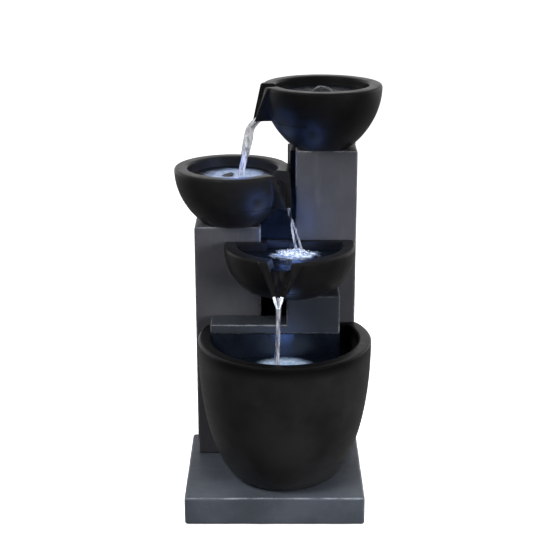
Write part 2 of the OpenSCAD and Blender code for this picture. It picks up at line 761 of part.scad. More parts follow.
module second_lamp_housing() color("black") at(second_lamp, second_floor) lamp_housing(second_lamp_h, true);
module second_lamp_board() color("white") at(second_lamp, second_floor) lamp_board();
module second_lamp_lens() color("lightcyan") at(second_lamp, second_floor) lamp_lens(second_lamp_h);
module third_lamp_housing() color("black") at(third_lamp, third_floor) lamp_housing(third_lamp_h, true);
module third_lamp_board() color("white") at(third_lamp, third_floor) lamp_board();
module third_lamp_lens() color("lightcyan") at(third_lamp, third_floor) lamp_lens(third_lamp_h);
module basin_lamp_housing() color("black")
    at(basin_lamp, plinth_z + basin_floor) lamp_housing(third_lamp_h, false);
module basin_lamp_board() color("white") at(basin_lamp, plinth_z + basin_floor) lamp_board();
module basin_lamp_lens() color("lightcyan")
    at(basin_lamp, plinth_z + basin_floor) lamp_lens(third_lamp_h);

module lamp_nuts() color("dimgray")
    for (place = [[second_lamp, second_floor], [third_lamp, third_floor]])
        at(place[0], place[1] - bowl_floor - 5) difference() {
            cylinder(r = lamp_stem_r + 3.5, h = 5, $fn = 6);
            translate([0, 0, -1]) cylinder(r = lamp_stem_r + 0.1, h = 7);
        }

// ---------- Wiring ----------

module second_lamp_lead() color("black") centred() sweep(bends(second_route, lead_bend), lamp_lead_d / 2);
module third_lamp_lead() color("black") centred() sweep(bends(third_route, lead_bend), lamp_lead_d / 2);
module basin_lamp_lead() color("black") centred() sweep(bends(basin_route, lead_bend), lamp_lead_d / 2);
module pump_lead() color("black") centred() sweep(bends(pump_route, lead_bend * 1.5), pump_lead_d / 2);

// Holes for the four leads, from z0 to z1
module lead_holes(z0, z1) for (x = row_x, y = row_y) {
    r = (x == row_x[1] && y == row_y[0] ? pump_lead_d : lamp_lead_d) / 2 + gap;
    translate([x, y, z0]) cylinder(r = r, h = z1 - z0, $fn = 32);
}

function lid_screws() = [for (x = [box_x0 + 4, box_x1 - 4], z = [box_z0 + 4, box_z1 - 4]) [x, z]];

module junction_box() color("black") centred() difference() {
    block([box_x0, box_y0, box_z0], [box_x1, box_y1, box_z1]);
    difference() {
        block([box_x0 + box_t, box_y0 + box_t, box_z0 + box_t], [box_x1 - box_t, box_y1 + 1, box_z1 - box_t]);
        for (s = lid_screws())
            block([s.x - 3, box_y1 - 14, s.y - 3], [s.x + 3, box_y1, s.y + 3]);
    }
    for (s = lid_screws())
        rod_y(s.x, box_y1 - 12, box_y1 + 1, s.y, 1.2);
    lead_holes(box_z1 - 4, box_z1 + 1);
    translate([gland_at.x, box_y1 - 16, box_z0 - 1]) cylinder(r = gland_bore + gap, h = 4);
}

module terminal_strip() color("ivory") centred() difference() {
    block([row_x[0] - 5, row_y[0] - 5, strip_z - 10], [row_x[1] + 5, row_y[1] + 5, strip_z]);
    for (x = row_x, y = row_y)
        translate([x, y, strip_z - 11]) cylinder(r = 1.2, h = 12, $fn = 24);
}

module junction_lid() color("black") centred() difference() {
    block([box_x0, box_y1, box_z0], [box_x1, box_y1 + 2.5, box_z1]);
    for (s = lid_screws())
        rod_y(s.x, box_y1 - 1, box_y1 + 4, s.y, 1.4);
}

module junction_screws() color("silver") centred()
    for (s = lid_screws()) {
        rod_y(s.x, box_y1 - 8, box_y1 + 3, s.y, 1.15);
        rod_y(s.x, box_y1 + 2.5, box_y1 + 4, s.y, 2.4);
    }

module cable_clips() color("white") centred()
    for (z = clip_z) difference() {
        block([left_x0 + pillar_wall, row_y[0] - 6, z], [row_x[1] + 6, row_y[1] + 6, z + 4]);
        lead_holes(z - 1, z + 5);
    }

base_plinth();
bottom_cover();
rubber_feet();
bottom_cover_screws();
left_column();
right_column();
centre_spine();
rear_panel();
rear_panel_screws();
access_door();
door_pull();
cable_gland();
basin();
pump_chamber_wall();
step_block();
top_bowl();
second_bowl();
third_bowl();
outlet_fitting();
outlet_gasket();
outlet_nut();
bubbler_cap();
riser_hose();
hose_clamps();
pump_body();
impeller_cap();
impeller();
impeller_shaft();
pump_intake_cover();
filter_sponge();
flow_dial();
suction_cups();
second_lamp_housing();
second_lamp_board();
second_lamp_lens();
third_lamp_housing();
third_lamp_board();
third_lamp_lens();
basin_lamp_housing();
basin_lamp_board();
basin_lamp_lens();
lamp_nuts();
second_lamp_lead();
third_lamp_lead();
basin_lamp_lead();
pump_lead();
junction_box();
terminal_strip();
junction_lid();
junction_screws();
cable_clips();
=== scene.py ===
"""Tabletop water fountain: the looks of four cascading bowls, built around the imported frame."""

import math
from collections import namedtuple

import bmesh
import bpy
import numpy as np
from bpy.props import FloatProperty, FloatVectorProperty, PointerProperty
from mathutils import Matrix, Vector, noise


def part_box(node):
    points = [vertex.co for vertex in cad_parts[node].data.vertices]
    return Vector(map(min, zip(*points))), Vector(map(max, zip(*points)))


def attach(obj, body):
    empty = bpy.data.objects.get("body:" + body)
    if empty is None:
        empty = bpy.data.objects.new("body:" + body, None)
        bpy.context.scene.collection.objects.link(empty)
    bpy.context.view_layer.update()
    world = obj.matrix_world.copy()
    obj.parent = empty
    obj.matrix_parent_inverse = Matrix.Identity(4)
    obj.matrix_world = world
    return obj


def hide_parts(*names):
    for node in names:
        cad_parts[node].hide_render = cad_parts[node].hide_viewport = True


bl_info = {
    "name": "Tabletop Water Fountain",
    "version": (1, 0, 0),
    "blender": (4, 5, 0),
    "location": "View3D > Sidebar > Fountain",
    "description": "Bowls, pillars, running water and lamps of a cascading tabletop fountain",
    "category": "Object",
}

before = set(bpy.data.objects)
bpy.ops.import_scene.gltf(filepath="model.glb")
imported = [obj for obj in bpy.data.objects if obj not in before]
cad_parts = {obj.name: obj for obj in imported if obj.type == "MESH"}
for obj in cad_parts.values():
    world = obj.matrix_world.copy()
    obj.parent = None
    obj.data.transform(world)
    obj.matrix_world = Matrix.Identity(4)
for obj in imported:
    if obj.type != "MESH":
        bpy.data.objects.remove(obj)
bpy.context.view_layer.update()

ROOT = "fountain"
MM = 0.001


# ---------- Places taken from the frame ----------

def centre_of(node):
    low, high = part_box(node)
    return (low + high) / 2


def low_of(node):
    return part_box(node)[0]


def high_of(node):
    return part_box(node)[1]


PLINTH = centre_of("base_plinth")
RECESS_DEPTH = 0.0147    # from the left pillar's face to the recess wall
SPINE_STEP = 0.0153      # from the recess sill's front to the wall's cap
PAST = 0.001             # overshoot of a cut past a face
FAR = 10.0               # further than any wall
FLAT = 0.55              # share of a dish's mouth that its flat floor takes


def at(x, y, z=0.0):
    """A place given in millimetres from the plinth's middle, in the frame's metres"""
    return Vector((PLINTH.x + x * MM, PLINTH.y + y * MM, z * MM))


PLINTH_WALL = 0.009
PILLAR_WALL = 0.007
WELL_LOW, WELL_HIGH = at(-46, 25, 62), at(76, 80, 205)    # outside of the pump's well
WELL_GAP = 0.0005
WIRE_HOLE = at(40, 0, 246)                                # where the third bowl's lead goes through
LIP = 0.0015                                              # how far a spout stands out at the rim
CHANNEL_HALF = 0.013                                      # half-width of its channel at the rim
CHANNEL_WALL = 0.0025                                     # side walls of the channel at the tip
UNDERCUT = 0.010                                          # width of the ring that a bowl stands on


# ---------- Settings ----------

class BowlSettings(bpy.types.PropertyGroup):
    """Sizes that the bowls and the basin share"""

    wall: FloatProperty(
        name="Rim thickness", description="Thickness of a bowl's wall at its rim",
        default=0.016, min=0.01, max=0.02, unit="LENGTH")
    floor: FloatProperty(
        name="Floor thickness", description="Thickness of a bowl's floor",
        default=0.008, min=0.005, max=0.012, unit="LENGTH")
    drop: FloatProperty(
        name="Spout height", description="Height of a spout from rim to tip",
        default=0.042, min=0.03, max=0.05, unit="LENGTH")
    sill: FloatProperty(
        name="Sill depth", description="How far a spout's channel starts below the rim",
        default=0.012, min=0.008, max=0.016, unit="LENGTH")
    reach: FloatProperty(
        name="Spout reach", description="How far a spout's tip stands out from the rim",
        default=0.012, min=0.004, max=0.014, unit="LENGTH")
    tip_half: FloatProperty(
        name="Tip half-width", description="Half the width of a spout's tip",
        default=0.0065, min=0.004, max=0.01, unit="LENGTH")
    rim_round: FloatProperty(
        name="Rim rounding", description="Radius along both edges of a rim",
        default=0.003, min=0.001, max=0.005, unit="LENGTH")
    rear_wall: FloatProperty(
        name="Rear wall", description="Thickness of the flat wall that leans on the pillars",
        default=0.008, min=0.005, max=0.01, unit="LENGTH")


class CastSettings(bpy.types.PropertyGroup):
    """How the cast resin blocks are finished"""

    edge: FloatProperty(
        name="Edge radius", description="Radius on the long edges of the blocks",
        default=0.0026, min=0.001, max=0.005, unit="LENGTH")
    wander: FloatProperty(
        name="Edge wander", description="How far the hand-finished edges wander inwards",
        default=0.0011, min=0.0, max=0.003, unit="LENGTH")
    slate: FloatVectorProperty(
        name="Slate paint", description="Colour of plinth and step block",
        default=(0.072, 0.082, 0.100), size=3, subtype="COLOR", min=0, max=1)
    pillar: FloatVectorProperty(
        name="Pillar paint", description="Colour of the pillars",
        default=(0.056, 0.057, 0.064), size=3, subtype="COLOR", min=0, max=1)
    # Edge colour: partly real rubbed wear, partly a painted highlight where the rounded edges catch the
    # light
    worn_and_highlight: FloatVectorProperty(
        name="Worn edge", description="Colour of the resin where edges are rubbed",
        default=(0.36, 0.39, 0.43), size=3, subtype="COLOR", min=0, max=1)
    glaze: FloatVectorProperty(
        name="Bowl paint", description="Colour of the satin black bowls",
        default=(0.0045, 0.0045, 0.0047), size=3, subtype="COLOR", min=0, max=1)


class WaterSettings(bpy.types.PropertyGroup):
    """Water levels and the light in the water"""

    top_level: FloatProperty(
        name="Top level", description="Water surface below the top bowl's rim",
        default=0.0105, min=0.008, max=0.02, unit="LENGTH")
    second_level: FloatProperty(
        name="Second level", description="Water surface below the second bowl's rim",
        default=0.0118, min=0.008, max=0.02, unit="LENGTH")
    third_level: FloatProperty(
        name="Third level", description="Water surface below the third bowl's rim",
        default=0.0100, min=0.004, max=0.02, unit="LENGTH")
    basin_level: FloatProperty(
        name="Basin level", description="Water surface below the basin's rim",
        default=0.0295, min=0.02, max=0.06, unit="LENGTH")
    glow: FloatVectorProperty(
        name="Glow", description="Colour of the lamps' light in the water",
        default=(0.50, 0.66, 1.0), size=3, subtype="COLOR", min=0, max=1)
    glow_power: FloatProperty(
        name="Glow strength", description="Brightness of the lit water",
        default=1.0, min=0.0, max=5.0)


class StudioSettings(bpy.types.PropertyGroup):
    """Camera and lights"""

    eye: FloatVectorProperty(
        name="Camera place", description="Where the camera stands",
        default=(-0.003, -1.4355, 0.755), size=3, subtype="XYZ", unit="LENGTH")
    tilt: FloatProperty(
        name="Camera tilt", description="How far the camera looks down",
        default=0.316, min=0.0, max=1.0, subtype="ANGLE")
    lens: FloatProperty(
        name="Focal length", description="Focal length on a 36 mm sensor",
        default=81.9, min=35.0, max=135.0)
    key: FloatProperty(
        name="Left light", description="Power of the high soft light on the left",
        default=28.0, min=0.0, max=100.0, unit="POWER")
    fill: FloatProperty(
        name="Right light", description="Power of the low soft light on the right",
        default=28.0, min=0.0, max=100.0, unit="POWER")
    over: FloatProperty(
        name="Top light", description="Power of the wide soft light overhead",
        default=12.0, min=0.0, max=100.0, unit="POWER")


class FountainSettings(bpy.types.PropertyGroup):
    """All settings of the fountain"""

    bowl: PointerProperty(type=BowlSettings)
    cast: PointerProperty(type=CastSettings)
    water: PointerProperty(type=WaterSettings)
    studio: PointerProperty(type=StudioSettings)


# ---------- Materials written as expressions ----------

class Wire:
    """A socket's value, which Python's arithmetic can use"""

    def __init__(self, finish, socket):
        self.finish = finish
        self.socket = socket

    def maths(self, operation, *values):
        return self.finish.node("ShaderNodeMath", {"operation": operation}, dict(enumerate(values)))

    def __add__(self, other):
        return self.maths("ADD", self, other)

    def __radd__(self, other):
        return self.maths("ADD", other, self)

    def __sub__(self, other):
        return self.maths("SUBTRACT", self, other)

    def __rsub__(self, other):
        return self.maths("SUBTRACT", other, self)

    def __mul__(self, other):
        return self.maths("MULTIPLY", self, other)

    def __rmul__(self, other):
        return self.maths("MULTIPLY", other, self)

    def least(self, other):
        return self.maths("MINIMUM", self, other)

    def most(self, other):
        return self.maths("MAXIMUM", self, other)


class Finish:
    """A material whose nodes are made by calls"""

    def __init__(self, name, kind="materials"):
        self.material = getattr(bpy.data, kind).new(name)
        self.material.use_nodes = True
        self.tree = self.material.node_tree
        self.tree.nodes.clear()

    def node(self, kind, settings=None, values=None, out=0):
        made = self.tree.nodes.new(kind)
        for key, value in (settings or {}).items():
            setattr(made, key, value)
        for key, value in (values or {}).items():
            socket = made.inputs[key]
            if isinstance(value, Wire):
                self.tree.links.new(value.socket, socket)
            elif isinstance(value, (tuple, list)) and socket.type == "RGBA":
                socket.default_value = (*value[:3], 1.0)
            else:
                socket.default_value = value
        return Wire(self, made.outputs[out])

    def where(self, scale=(1, 1, 1), shift=(0, 0, 0)):
        """The place on the object, in metres, stretched by scale"""
        coordinates = self.node("ShaderNodeTexCoord", out="Object")
        return self.node("ShaderNodeMapping", {"vector_type": "POINT"},
                         {"Vector": coordinates, "Scale": scale, "Location": shift})

    def noise(self, scale, detail=3.0, rough=0.5, stretch=(1, 1, 1), shift=(0, 0, 0)):
        return self.node("ShaderNodeTexNoise", {"noise_dimensions": "3D"},
                         {"Vector": self.where(stretch, shift), "Scale": scale, "Detail": detail,
                          "Roughness": rough})

    def cells(self, scale, stretch=(1, 1, 1)):
        return self.node("ShaderNodeTexVoronoi", {"feature": "F1"},
                         {"Vector": self.where(stretch), "Scale": scale})

    def distance(self, point, stretch=(1, 1, 1)):
        """Distance from a point, in metres"""
        offset = self.node("ShaderNodeVectorMath", {"operation": "SUBTRACT"},
                           {0: self.where(), 1: tuple(point)})
        scaled = self.node("ShaderNodeVectorMath", {"operation": "MULTIPLY"}, {0: offset, 1: stretch})
        return self.node("ShaderNodeVectorMath", {"operation": "LENGTH"}, {0: scaled}, out="Value")

    def axes(self, vector):
        """The three parts of a vector"""
        split = self.tree.nodes.new("ShaderNodeSeparateXYZ")
        self.tree.links.new(vector.socket, split.inputs[0])
        return [Wire(self, output) for output in split.outputs]

    def between(self, value, low, high, start=0.0, end=1.0):
        """A value's smooth step from low to high"""
        return self.node("ShaderNodeMapRange", {"interpolation_type": "SMOOTHSTEP"},
                         {"Value": value, "From Min": low, "From Max": high,
                          "To Min": start, "To Max": end})

    def blend(self, factor, first, second):
        return self.node("ShaderNodeMix", {"data_type": "RGBA"}, {0: factor, 6: first, 7: second}, out=2)

    def bump(self, height, strength=0.3, distance=0.001):
        return self.node("ShaderNodeBump", None,
                         {"Height": height, "Strength": strength, "Distance": distance})

    def done(self, **values):
        """Closes the tree with a Principled shader, its sockets named as in Base_Color"""
        sockets = {key.replace("_", " ").replace("Ior", "IOR"): value for key, value in values.items()}
        shader = self.node("ShaderNodeBsdfPrincipled", None, sockets)
        output = self.tree.nodes.new("ShaderNodeOutputMaterial")
        self.tree.links.new(shader.socket, output.inputs["Surface"])
        return self.material


def shade(colour, factor):
    return tuple(min(1.0, c * factor) for c in colour)


def settings():
    return bpy.context.scene.fountain


def worn_edges_and_highlights(finish, low, high, wander=0.6, reach=0.0026):
    """1 along a block's long edges and 0 on its faces, wavering as a rubbed edge does; the light colour it
    lays on is partly real rubbed wear and partly a painted highlight along the edges
    """
    middle = (Vector(low) + Vector(high)) / 2
    half = (Vector(high) - Vector(low)) / 2
    offset = finish.node("ShaderNodeVectorMath", {"operation": "SUBTRACT"},
                         {0: finish.where(), 1: tuple(middle)})
    folded = finish.node("ShaderNodeVectorMath", {"operation": "ABSOLUTE"}, {0: offset})
    depth = finish.node("ShaderNodeVectorMath", {"operation": "SUBTRACT"}, {0: tuple(half), 1: folded})
    x, y, z = finish.axes(depth)
    second = x.least(y).most(x.most(y).least(z))
    wave = finish.noise(38, 3.0, 0.6) - 0.5
    fine = finish.noise(260, 3.0, 0.6, shift=(3, 1, 2)) - 0.5
    return finish.between(second + wave * (0.0032 * wander) + fine * 0.0014, reach * 0.25, reach, 1.0, 0.0)


# ---------- Finishes ----------

def slate_finish(low, high, tone=1.0):
    """Cast slate; tone darkens the step block's copy of it"""
    cast = settings().cast
    slate = shade(cast.slate, tone)
    f = Finish("slate_block")
    cloud = f.noise(9, 4.0, 0.6)
    speck = f.noise(420, 2.0, 0.7)
    scuff = f.noise(60, 5.0, 0.7, stretch=(1, 1, 3))
    colour = f.blend(f.between(cloud, 0.35, 0.68), shade(slate, 0.80), shade(slate, 1.25))
    colour = f.blend(f.between(speck, 0.60, 0.72) * 0.35, colour, shade(slate, 2.0))
    colour = f.blend(f.between(scuff, 0.62, 0.78) * 0.25, colour, shade(slate, 1.7))
    # Lighter edges: partly real rubbed wear, partly a painted highlight along them
    wear_and_highlight = worn_edges_and_highlights(f, low, high, 1.0, 0.0019)
    colour = f.blend(wear_and_highlight * (0.30 + 0.32 * tone), colour, tuple(cast.worn_and_highlight))
    height = cloud * 0.6 + scuff * 0.3 + speck * 0.12
    rough = f.between(scuff, 0.3, 0.7, 0.42, 0.56)
    return f.done(Base_Color=colour, Roughness=rough, Specular_IOR_Level=0.4,
                  Normal=f.bump(height, 0.35, 0.0016))


def pillar_finish(low, high):
    cast = settings().cast
    f = Finish("pillar_block")
    cloud = f.noise(7, 4.0, 0.6)
    rain = f.noise(24, 4.0, 0.65, stretch=(3, 3, 0.35))
    speck = f.noise(500, 2.0, 0.7)
    colour = f.blend(f.between(cloud, 0.35, 0.68), shade(cast.pillar, 0.82), shade(cast.pillar, 1.22))
    colour = f.blend(f.between(rain, 0.56, 0.74) * 0.4, colour, shade(cast.pillar, 1.7))
    colour = f.blend(f.between(speck, 0.62, 0.74) * 0.3, colour, shade(cast.pillar, 2.1))
    # Lighter edges: partly real rubbed wear, partly a painted highlight along them
    wear_and_highlight = worn_edges_and_highlights(f, low, high, 0.7, 0.0018)
    colour = f.blend(wear_and_highlight * 0.45, colour, tuple(cast.worn_and_highlight))
    height = cloud * 0.5 + rain * 0.4 + speck * 0.12
    return f.done(Base_Color=colour, Roughness=f.between(rain, 0.3, 0.7, 0.50, 0.40),
                  Specular_IOR_Level=0.35, Normal=f.bump(height, 0.3, 0.0014))


def bowl_finish(name, tone=1.0, rim_shade_from=None):
    """Satin black paint over a hand-smoothed shell. The tone lightens or darkens each bowl's copy of it,
    painted light and shade; the wall can also be darkened towards the rim, painted shade
    """
    glaze = shade(settings().cast.glaze, tone)
    f = Finish(name)
    cloud = f.noise(14, 4.0, 0.6)
    orange = f.noise(520, 2.0, 0.5)
    brush = f.noise(70, 4.0, 0.65, stretch=(1, 1, 2.5))
    colour = f.blend(f.between(cloud, 0.3, 0.7), shade(glaze, 0.8), shade(glaze, 1.5))
    colour = f.blend(f.between(brush, 0.64, 0.80) * 0.3, colour, shade(glaze, 4.0))
    # Painted shade: from the given height up to the rim the paint is darkened to a quarter
    if rim_shade_from is not None:
        up = f.axes(f.where())[2] + (cloud - 0.5) * 0.012
        colour = f.blend(f.between(up, rim_shade_from, rim_shade_from + 0.016), colour, shade(glaze, 0.25))
    height = cloud * 0.8 + brush * 0.15 + orange * 0.06
    return f.done(Base_Color=colour, Roughness=f.between(brush, 0.3, 0.75, 0.30, 0.40),
                  Specular_IOR_Level=0.35, Normal=f.bump(height, 0.22, 0.0012))


def wet_finish(name="wet_black", gloss=0.5, rough=0.16, tone=1.0):
    """Black paint that stays wet, streaked where drops run down it"""
    f = Finish(name)
    cloud = f.noise(18, 4.0, 0.6)
    drip = f.noise(55, 4.0, 0.6, stretch=(1, 1, 0.25))
    colour = f.blend(f.between(cloud, 0.3, 0.7), shade((0.0035, 0.0050, 0.0085), tone),
                     shade((0.008, 0.011, 0.018), tone))
    return f.done(Base_Color=colour, Roughness=f.between(drip, 0.35, 0.65, rough, rough + 0.26),
                  Specular_IOR_Level=gloss, Normal=f.bump(drip * 0.7 + cloud * 0.5, 0.35, 0.0012))


def moulded_finish(name, colour, rough=0.45, grain=700.0, dust=0.12):
    """Moulded plastic with a fine spark-eroded grain and a little dust"""
    f = Finish(name)
    cloud = f.noise(30, 3.0, 0.5)
    fine = f.noise(grain, 2.0, 0.6)
    tone = f.blend(f.between(cloud, 0.3, 0.7), shade(colour, 0.86), shade(colour, 1.16))
    tone = f.blend(f.between(fine, 0.60, 0.75) * dust, tone, (0.35, 0.35, 0.34))
    return f.done(Base_Color=tone, Roughness=f.between(cloud, 0.3, 0.7, rough - 0.06, rough + 0.08),
                  Normal=f.bump(fine, 0.25, 0.0002))


def metal_finish(name, colour, rough=0.3):
    """Turned metal with fine brushing round it"""
    f = Finish(name)
    cloud = f.noise(90, 3.0, 0.6)
    brush = f.noise(900, 3.0, 0.6, stretch=(1, 1, 0.1))
    tone = f.blend(f.between(cloud, 0.35, 0.7), shade(colour, 0.8), shade(colour, 1.05))
    return f.done(Base_Color=tone, Metallic=1.0,
                  Roughness=f.between(brush, 0.3, 0.7, rough - 0.08, rough + 0.12),
                  Normal=f.bump(brush, 0.2, 0.0002))


def foam_finish():
    f = Finish("filter_foam")
    pores = f.cells(620)
    tone = f.blend(f.between(pores, 0.0, 0.6), (0.004, 0.004, 0.005), (0.06, 0.06, 0.065))
    return f.done(Base_Color=tone, Roughness=0.95, Normal=f.bump(pores, 0.9, 0.0008))


def hose_finish():
    f = Finish("hose_vinyl")
    cloud = f.noise(60, 3.0, 0.5)
    tone = f.blend(f.between(cloud, 0.3, 0.7), (0.05, 0.055, 0.06), (0.10, 0.105, 0.11))
    return f.done(Base_Color=tone, Roughness=0.22, Coat_Weight=0.3, Normal=f.bump(cloud, 0.2, 0.0006))


def lens_finish():
    f = Finish("lamp_lens")
    facets = f.cells(900)
    glow = tuple(settings().water.glow)
    tone = f.blend(f.between(facets, 0.0, 0.7), shade(glow, 1.2), (1, 1, 1))
    return f.done(Base_Color=(0.8, 0.85, 0.95), Roughness=0.12, Emission_Color=tone,
                  Emission_Strength=2.2, Normal=f.bump(facets, 0.4, 0.0004))


LampGlow = namedtuple("LampGlow", "place radius stretch pool tear lacing cap", defaults=(None,))


def water_finish(name, ripple, glow=None):
    """Dark clear water, lit from below where a lamp stands under it"""
    f = Finish(name)
    swirl = f.noise(95, 4.0, 0.62)
    fine = f.noise(330, 3.0, 0.6)
    values = {"Base_Color": (0.004, 0.006, 0.010), "Roughness": 0.07, "Specular_IOR_Level": 0.5,
              "Normal": f.bump(swirl * 1.0 + fine * 0.4, 0.55 * ripple, 0.003)}
    if glow:
        away = f.distance(glow.place, glow.stretch)
        torn = (f.noise(70, 5.0, 0.7, shift=(4, 2, 1)) - 0.5) * (glow.radius * glow.tear)
        mask = f.between(away + torn, glow.radius * 0.55, glow.radius, 1.0, 0.0)
        lace = f.between(f.noise(150, 5.0, 0.75), 0.40, 0.62) * glow.lacing
        lit = f.blend(lace, glow.pool, (0.85, 0.93, 1.0))
        if glow.cap is not None:
            mask = mask * f.between(f.distance(glow.cap, (1, 1, 0)), 0.006, 0.009)
        values["Emission_Color"] = f.blend(mask, (0, 0, 0), lit)
        values["Emission_Strength"] = settings().water.glow_power
    return f.done(**values)


def falling_finish(name, tint, cover, strength, white=0.5):
    """Falling water: streaks down the stream, clear between them. Its emission is painted light: the water
    glows in its own tint, standing in for the light it catches
    """
    f = Finish(name)
    streak = f.noise(210, 4.0, 0.65, stretch=(1, 1, 0.10))
    broken = f.noise(120, 4.0, 0.7, stretch=(1, 1, 0.35), shift=(2, 5, 1))
    mask = f.between(streak, 0.36, 0.62)
    alpha = (mask * 0.75 + f.between(broken, 0.40, 0.62) * 0.45 + cover).least(1.0)
    tone = f.blend(mask, tint, (white, white, white * 1.06))
    return f.done(Base_Color=tone, Roughness=0.10, Alpha=alpha, Emission_Color=tone,
                  Emission_Strength=strength, Normal=f.bump(streak * 1.0 + broken * 0.5, 0.6, 0.0015))


# ---------- Meshes ----------

def show(name, mesh_or_bm, material, body=ROOT, replaces=(), smooth_angle=38.0):
    """Makes an object of a mesh, with smooth faces and sharp folds, and gives it to the frame"""
    if isinstance(mesh_or_bm, bmesh.types.BMesh):
        mesh = bpy.data.meshes.new(name)
        mesh_or_bm.to_mesh(mesh)
        mesh_or_bm.free()
    else:
        mesh = mesh_or_bm
    obj = bpy.data.objects.new(name, mesh)
    bpy.context.scene.collection.objects.link(obj)
    mesh.materials.clear()
    mesh.materials.append(material)
    mesh.polygons.foreach_set("material_index", [0] * len(mesh.polygons))
    shade_smooth(mesh, smooth_angle)
    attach(obj, body)
    if replaces:
        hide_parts(*replaces)
    return obj


def shade_smooth(mesh, angle):
    shaped = bmesh.new()
    shaped.from_mesh(mesh)
    limit = math.radians(angle)
    for face in shaped.faces:
        face.smooth = True
    for edge in shaped.edges:
        edge.smooth = len(edge.link_faces) == 2 and edge.calc_face_angle(0.0) < limit
    shaped.to_mesh(mesh)
    shaped.free()


def loft(rings):
    """A bmesh over rings of points; a ring of one point is a pole"""
    shaped = bmesh.new()
    made = [[shaped.verts.new(point) for point in ring] for ring in rings]
    for below, above in zip(made, made[1:]):
        count = max(len(below), len(above))
        for i in range(count):
            j = (i + 1) % count
            corners = [ring[k % len(ring)] for ring, k in ((below, i), (below, j), (above, j), (above, i))]
            corners = list(dict.fromkeys(corners))
            if len(corners) >= 3:
                shaped.faces.new(corners)
    bmesh.ops.recalc_face_normals(shaped, faces=shaped.faces)
    return shaped


def spaced(low, high, radius, step):
    """Grid lines from low to high, close together where an edge is rounded"""
    room = (high - low) / radius / 2
    lines = [k for k in (0.0, 0.25, 0.5, 0.75, 1.0, 1.8, 3.0) if k < room - 0.3]
    start = [low + radius * k for k in lines]
    end = [high - radius * k for k in reversed(lines)]
    count = max(1, round((end[0] - start[-1]) / step))
    middle = [start[-1] + (end[0] - start[-1]) * i / count for i in range(1, count)]
    return start + middle + end


def cast_block(low, high, step, seed, wander=None):
    """A hand-finished block: rounded edges that wander a little"""
    low, high = Vector(low), Vector(high)
    radius = settings().cast.edge
    wander = settings().cast.wander if wander is None else wander
    lines = [spaced(low[k], high[k], radius, step) for k in range(3)]
    shaped = bmesh.new()
    found = {}

    def corner(index):
        if index not in found:
            found[index] = shaped.verts.new([lines[k][index[k]] for k in range(3)])
        return found[index]

    last = [len(line) - 1 for line in lines]
    for axis in range(3):
        u, v = (axis + 1) % 3, (axis + 2) % 3
        for side in (0, last[axis]):
            for i in range(last[u]):
                for j in range(last[v]):
                    quad = []
                    for a, b in ((i, j), (i + 1, j), (i + 1, j + 1), (i, j + 1)):
                        index = [0, 0, 0]
                        index[axis], index[u], index[v] = side, a, b
                        quad.append(corner(tuple(index)))
                    if side == 0:
                        quad.reverse()
                    shaped.faces.new(quad)
    for vert in shaped.verts:
        wave = noise.noise(vert.co * 28.0 + Vector((seed, 0, 0))) * 0.7
        wave += noise.noise(vert.co * 90.0 + Vector((0, seed, 0))) * 0.3
        bend = radius * 1.1 + wander * (0.5 + wave)
        inner = Vector([min(max(vert.co[k], low[k] + bend), high[k] - bend) for k in range(3)])
        away = vert.co - inner
        if away.length > 1e-7:
            vert.co = inner + away.normalized() * bend
    return shaped


def box_mesh(low, high, name="cutter"):
    """A plain block, for cutting with"""
    shaped = bmesh.new()
    bmesh.ops.create_cube(shaped, size=1.0)
    low, high = Vector(low), Vector(high)
    for vert in shaped.verts:
        vert.co = Vector([(low[k] + high[k]) / 2 + vert.co[k] * (high[k] - low[k]) for k in range(3)])
    mesh = bpy.data.meshes.new(name)
    shaped.to_mesh(mesh)
    shaped.free()
    return mesh


def rod_mesh(start, end, radius, name="cutter"):
    """A round bar with closed ends, for cutting with"""
    start, end = Vector(start), Vector(end)
    turn = (end - start).to_track_quat("Z", "Y")
    rings = []
    for place in (start, end):
        rings.append([place])
        rings.append([place + turn @ Vector((radius * math.cos(a), radius * math.sin(a), 0))
                      for a in np.linspace(0, math.tau, 48, endpoint=False)])
    shaped = loft([rings[0], rings[1], rings[3], rings[2]])
    mesh = bpy.data.meshes.new(name)
    shaped.to_mesh(mesh)
    shaped.free()
    return mesh


def carve(shaped, cutters, operation="DIFFERENCE"):
    """The block with cutter meshes taken away, as a mesh"""
    mesh = shaped
    if isinstance(shaped, bmesh.types.BMesh):
        mesh = bpy.data.meshes.new("carved")
        shaped.to_mesh(mesh)
        shaped.free()
    obj = bpy.data.objects.new("carved", mesh)
    bpy.context.scene.collection.objects.link(obj)
    tools = []
    for cutter in cutters:
        tool = bpy.data.objects.new("tool", cutter)
        bpy.context.scene.collection.objects.link(tool)
        step = obj.modifiers.new("cut", "BOOLEAN")
        step.operation = operation
        step.solver = "MANIFOLD"
        step.object = tool
        tools.append(tool)
    ready = obj.evaluated_get(bpy.context.evaluated_depsgraph_get())
    carved = bpy.data.meshes.new_from_object(ready)
    for gone in [obj, *tools]:
        used = gone.data
        bpy.data.objects.remove(gone)
        bpy.data.meshes.remove(used)
    return carved


# ---------- Bowls ----------

class Fence:
    """The line in plan that a bowl stops at where it leans on the pillars"""

    def __init__(self, points):
        self.points = [Vector(p[:2]) for p in points]

    def corners(self, centre):
        return [math.atan2(p.y - centre.y, p.x - centre.x) for p in self.points]

    def reach(self, centre, angle):
        """How far from the centre the line is, in a direction"""
        toward = Vector((math.cos(angle), math.sin(angle)))
        nearest = FAR
        for a, b in zip(self.points, self.points[1:]):
            along = b - a
            across = toward.x * along.y - toward.y * along.x
            if abs(across) < 1e-9:
                continue
            gap = a - centre
            reach = (gap.x * along.y - gap.y * along.x) / across
            share = (gap.x * toward.y - gap.y * toward.x) / across
            if reach > 0 and -1e-6 <= share <= 1 + 1e-6:
                nearest = min(nearest, reach)
        return nearest


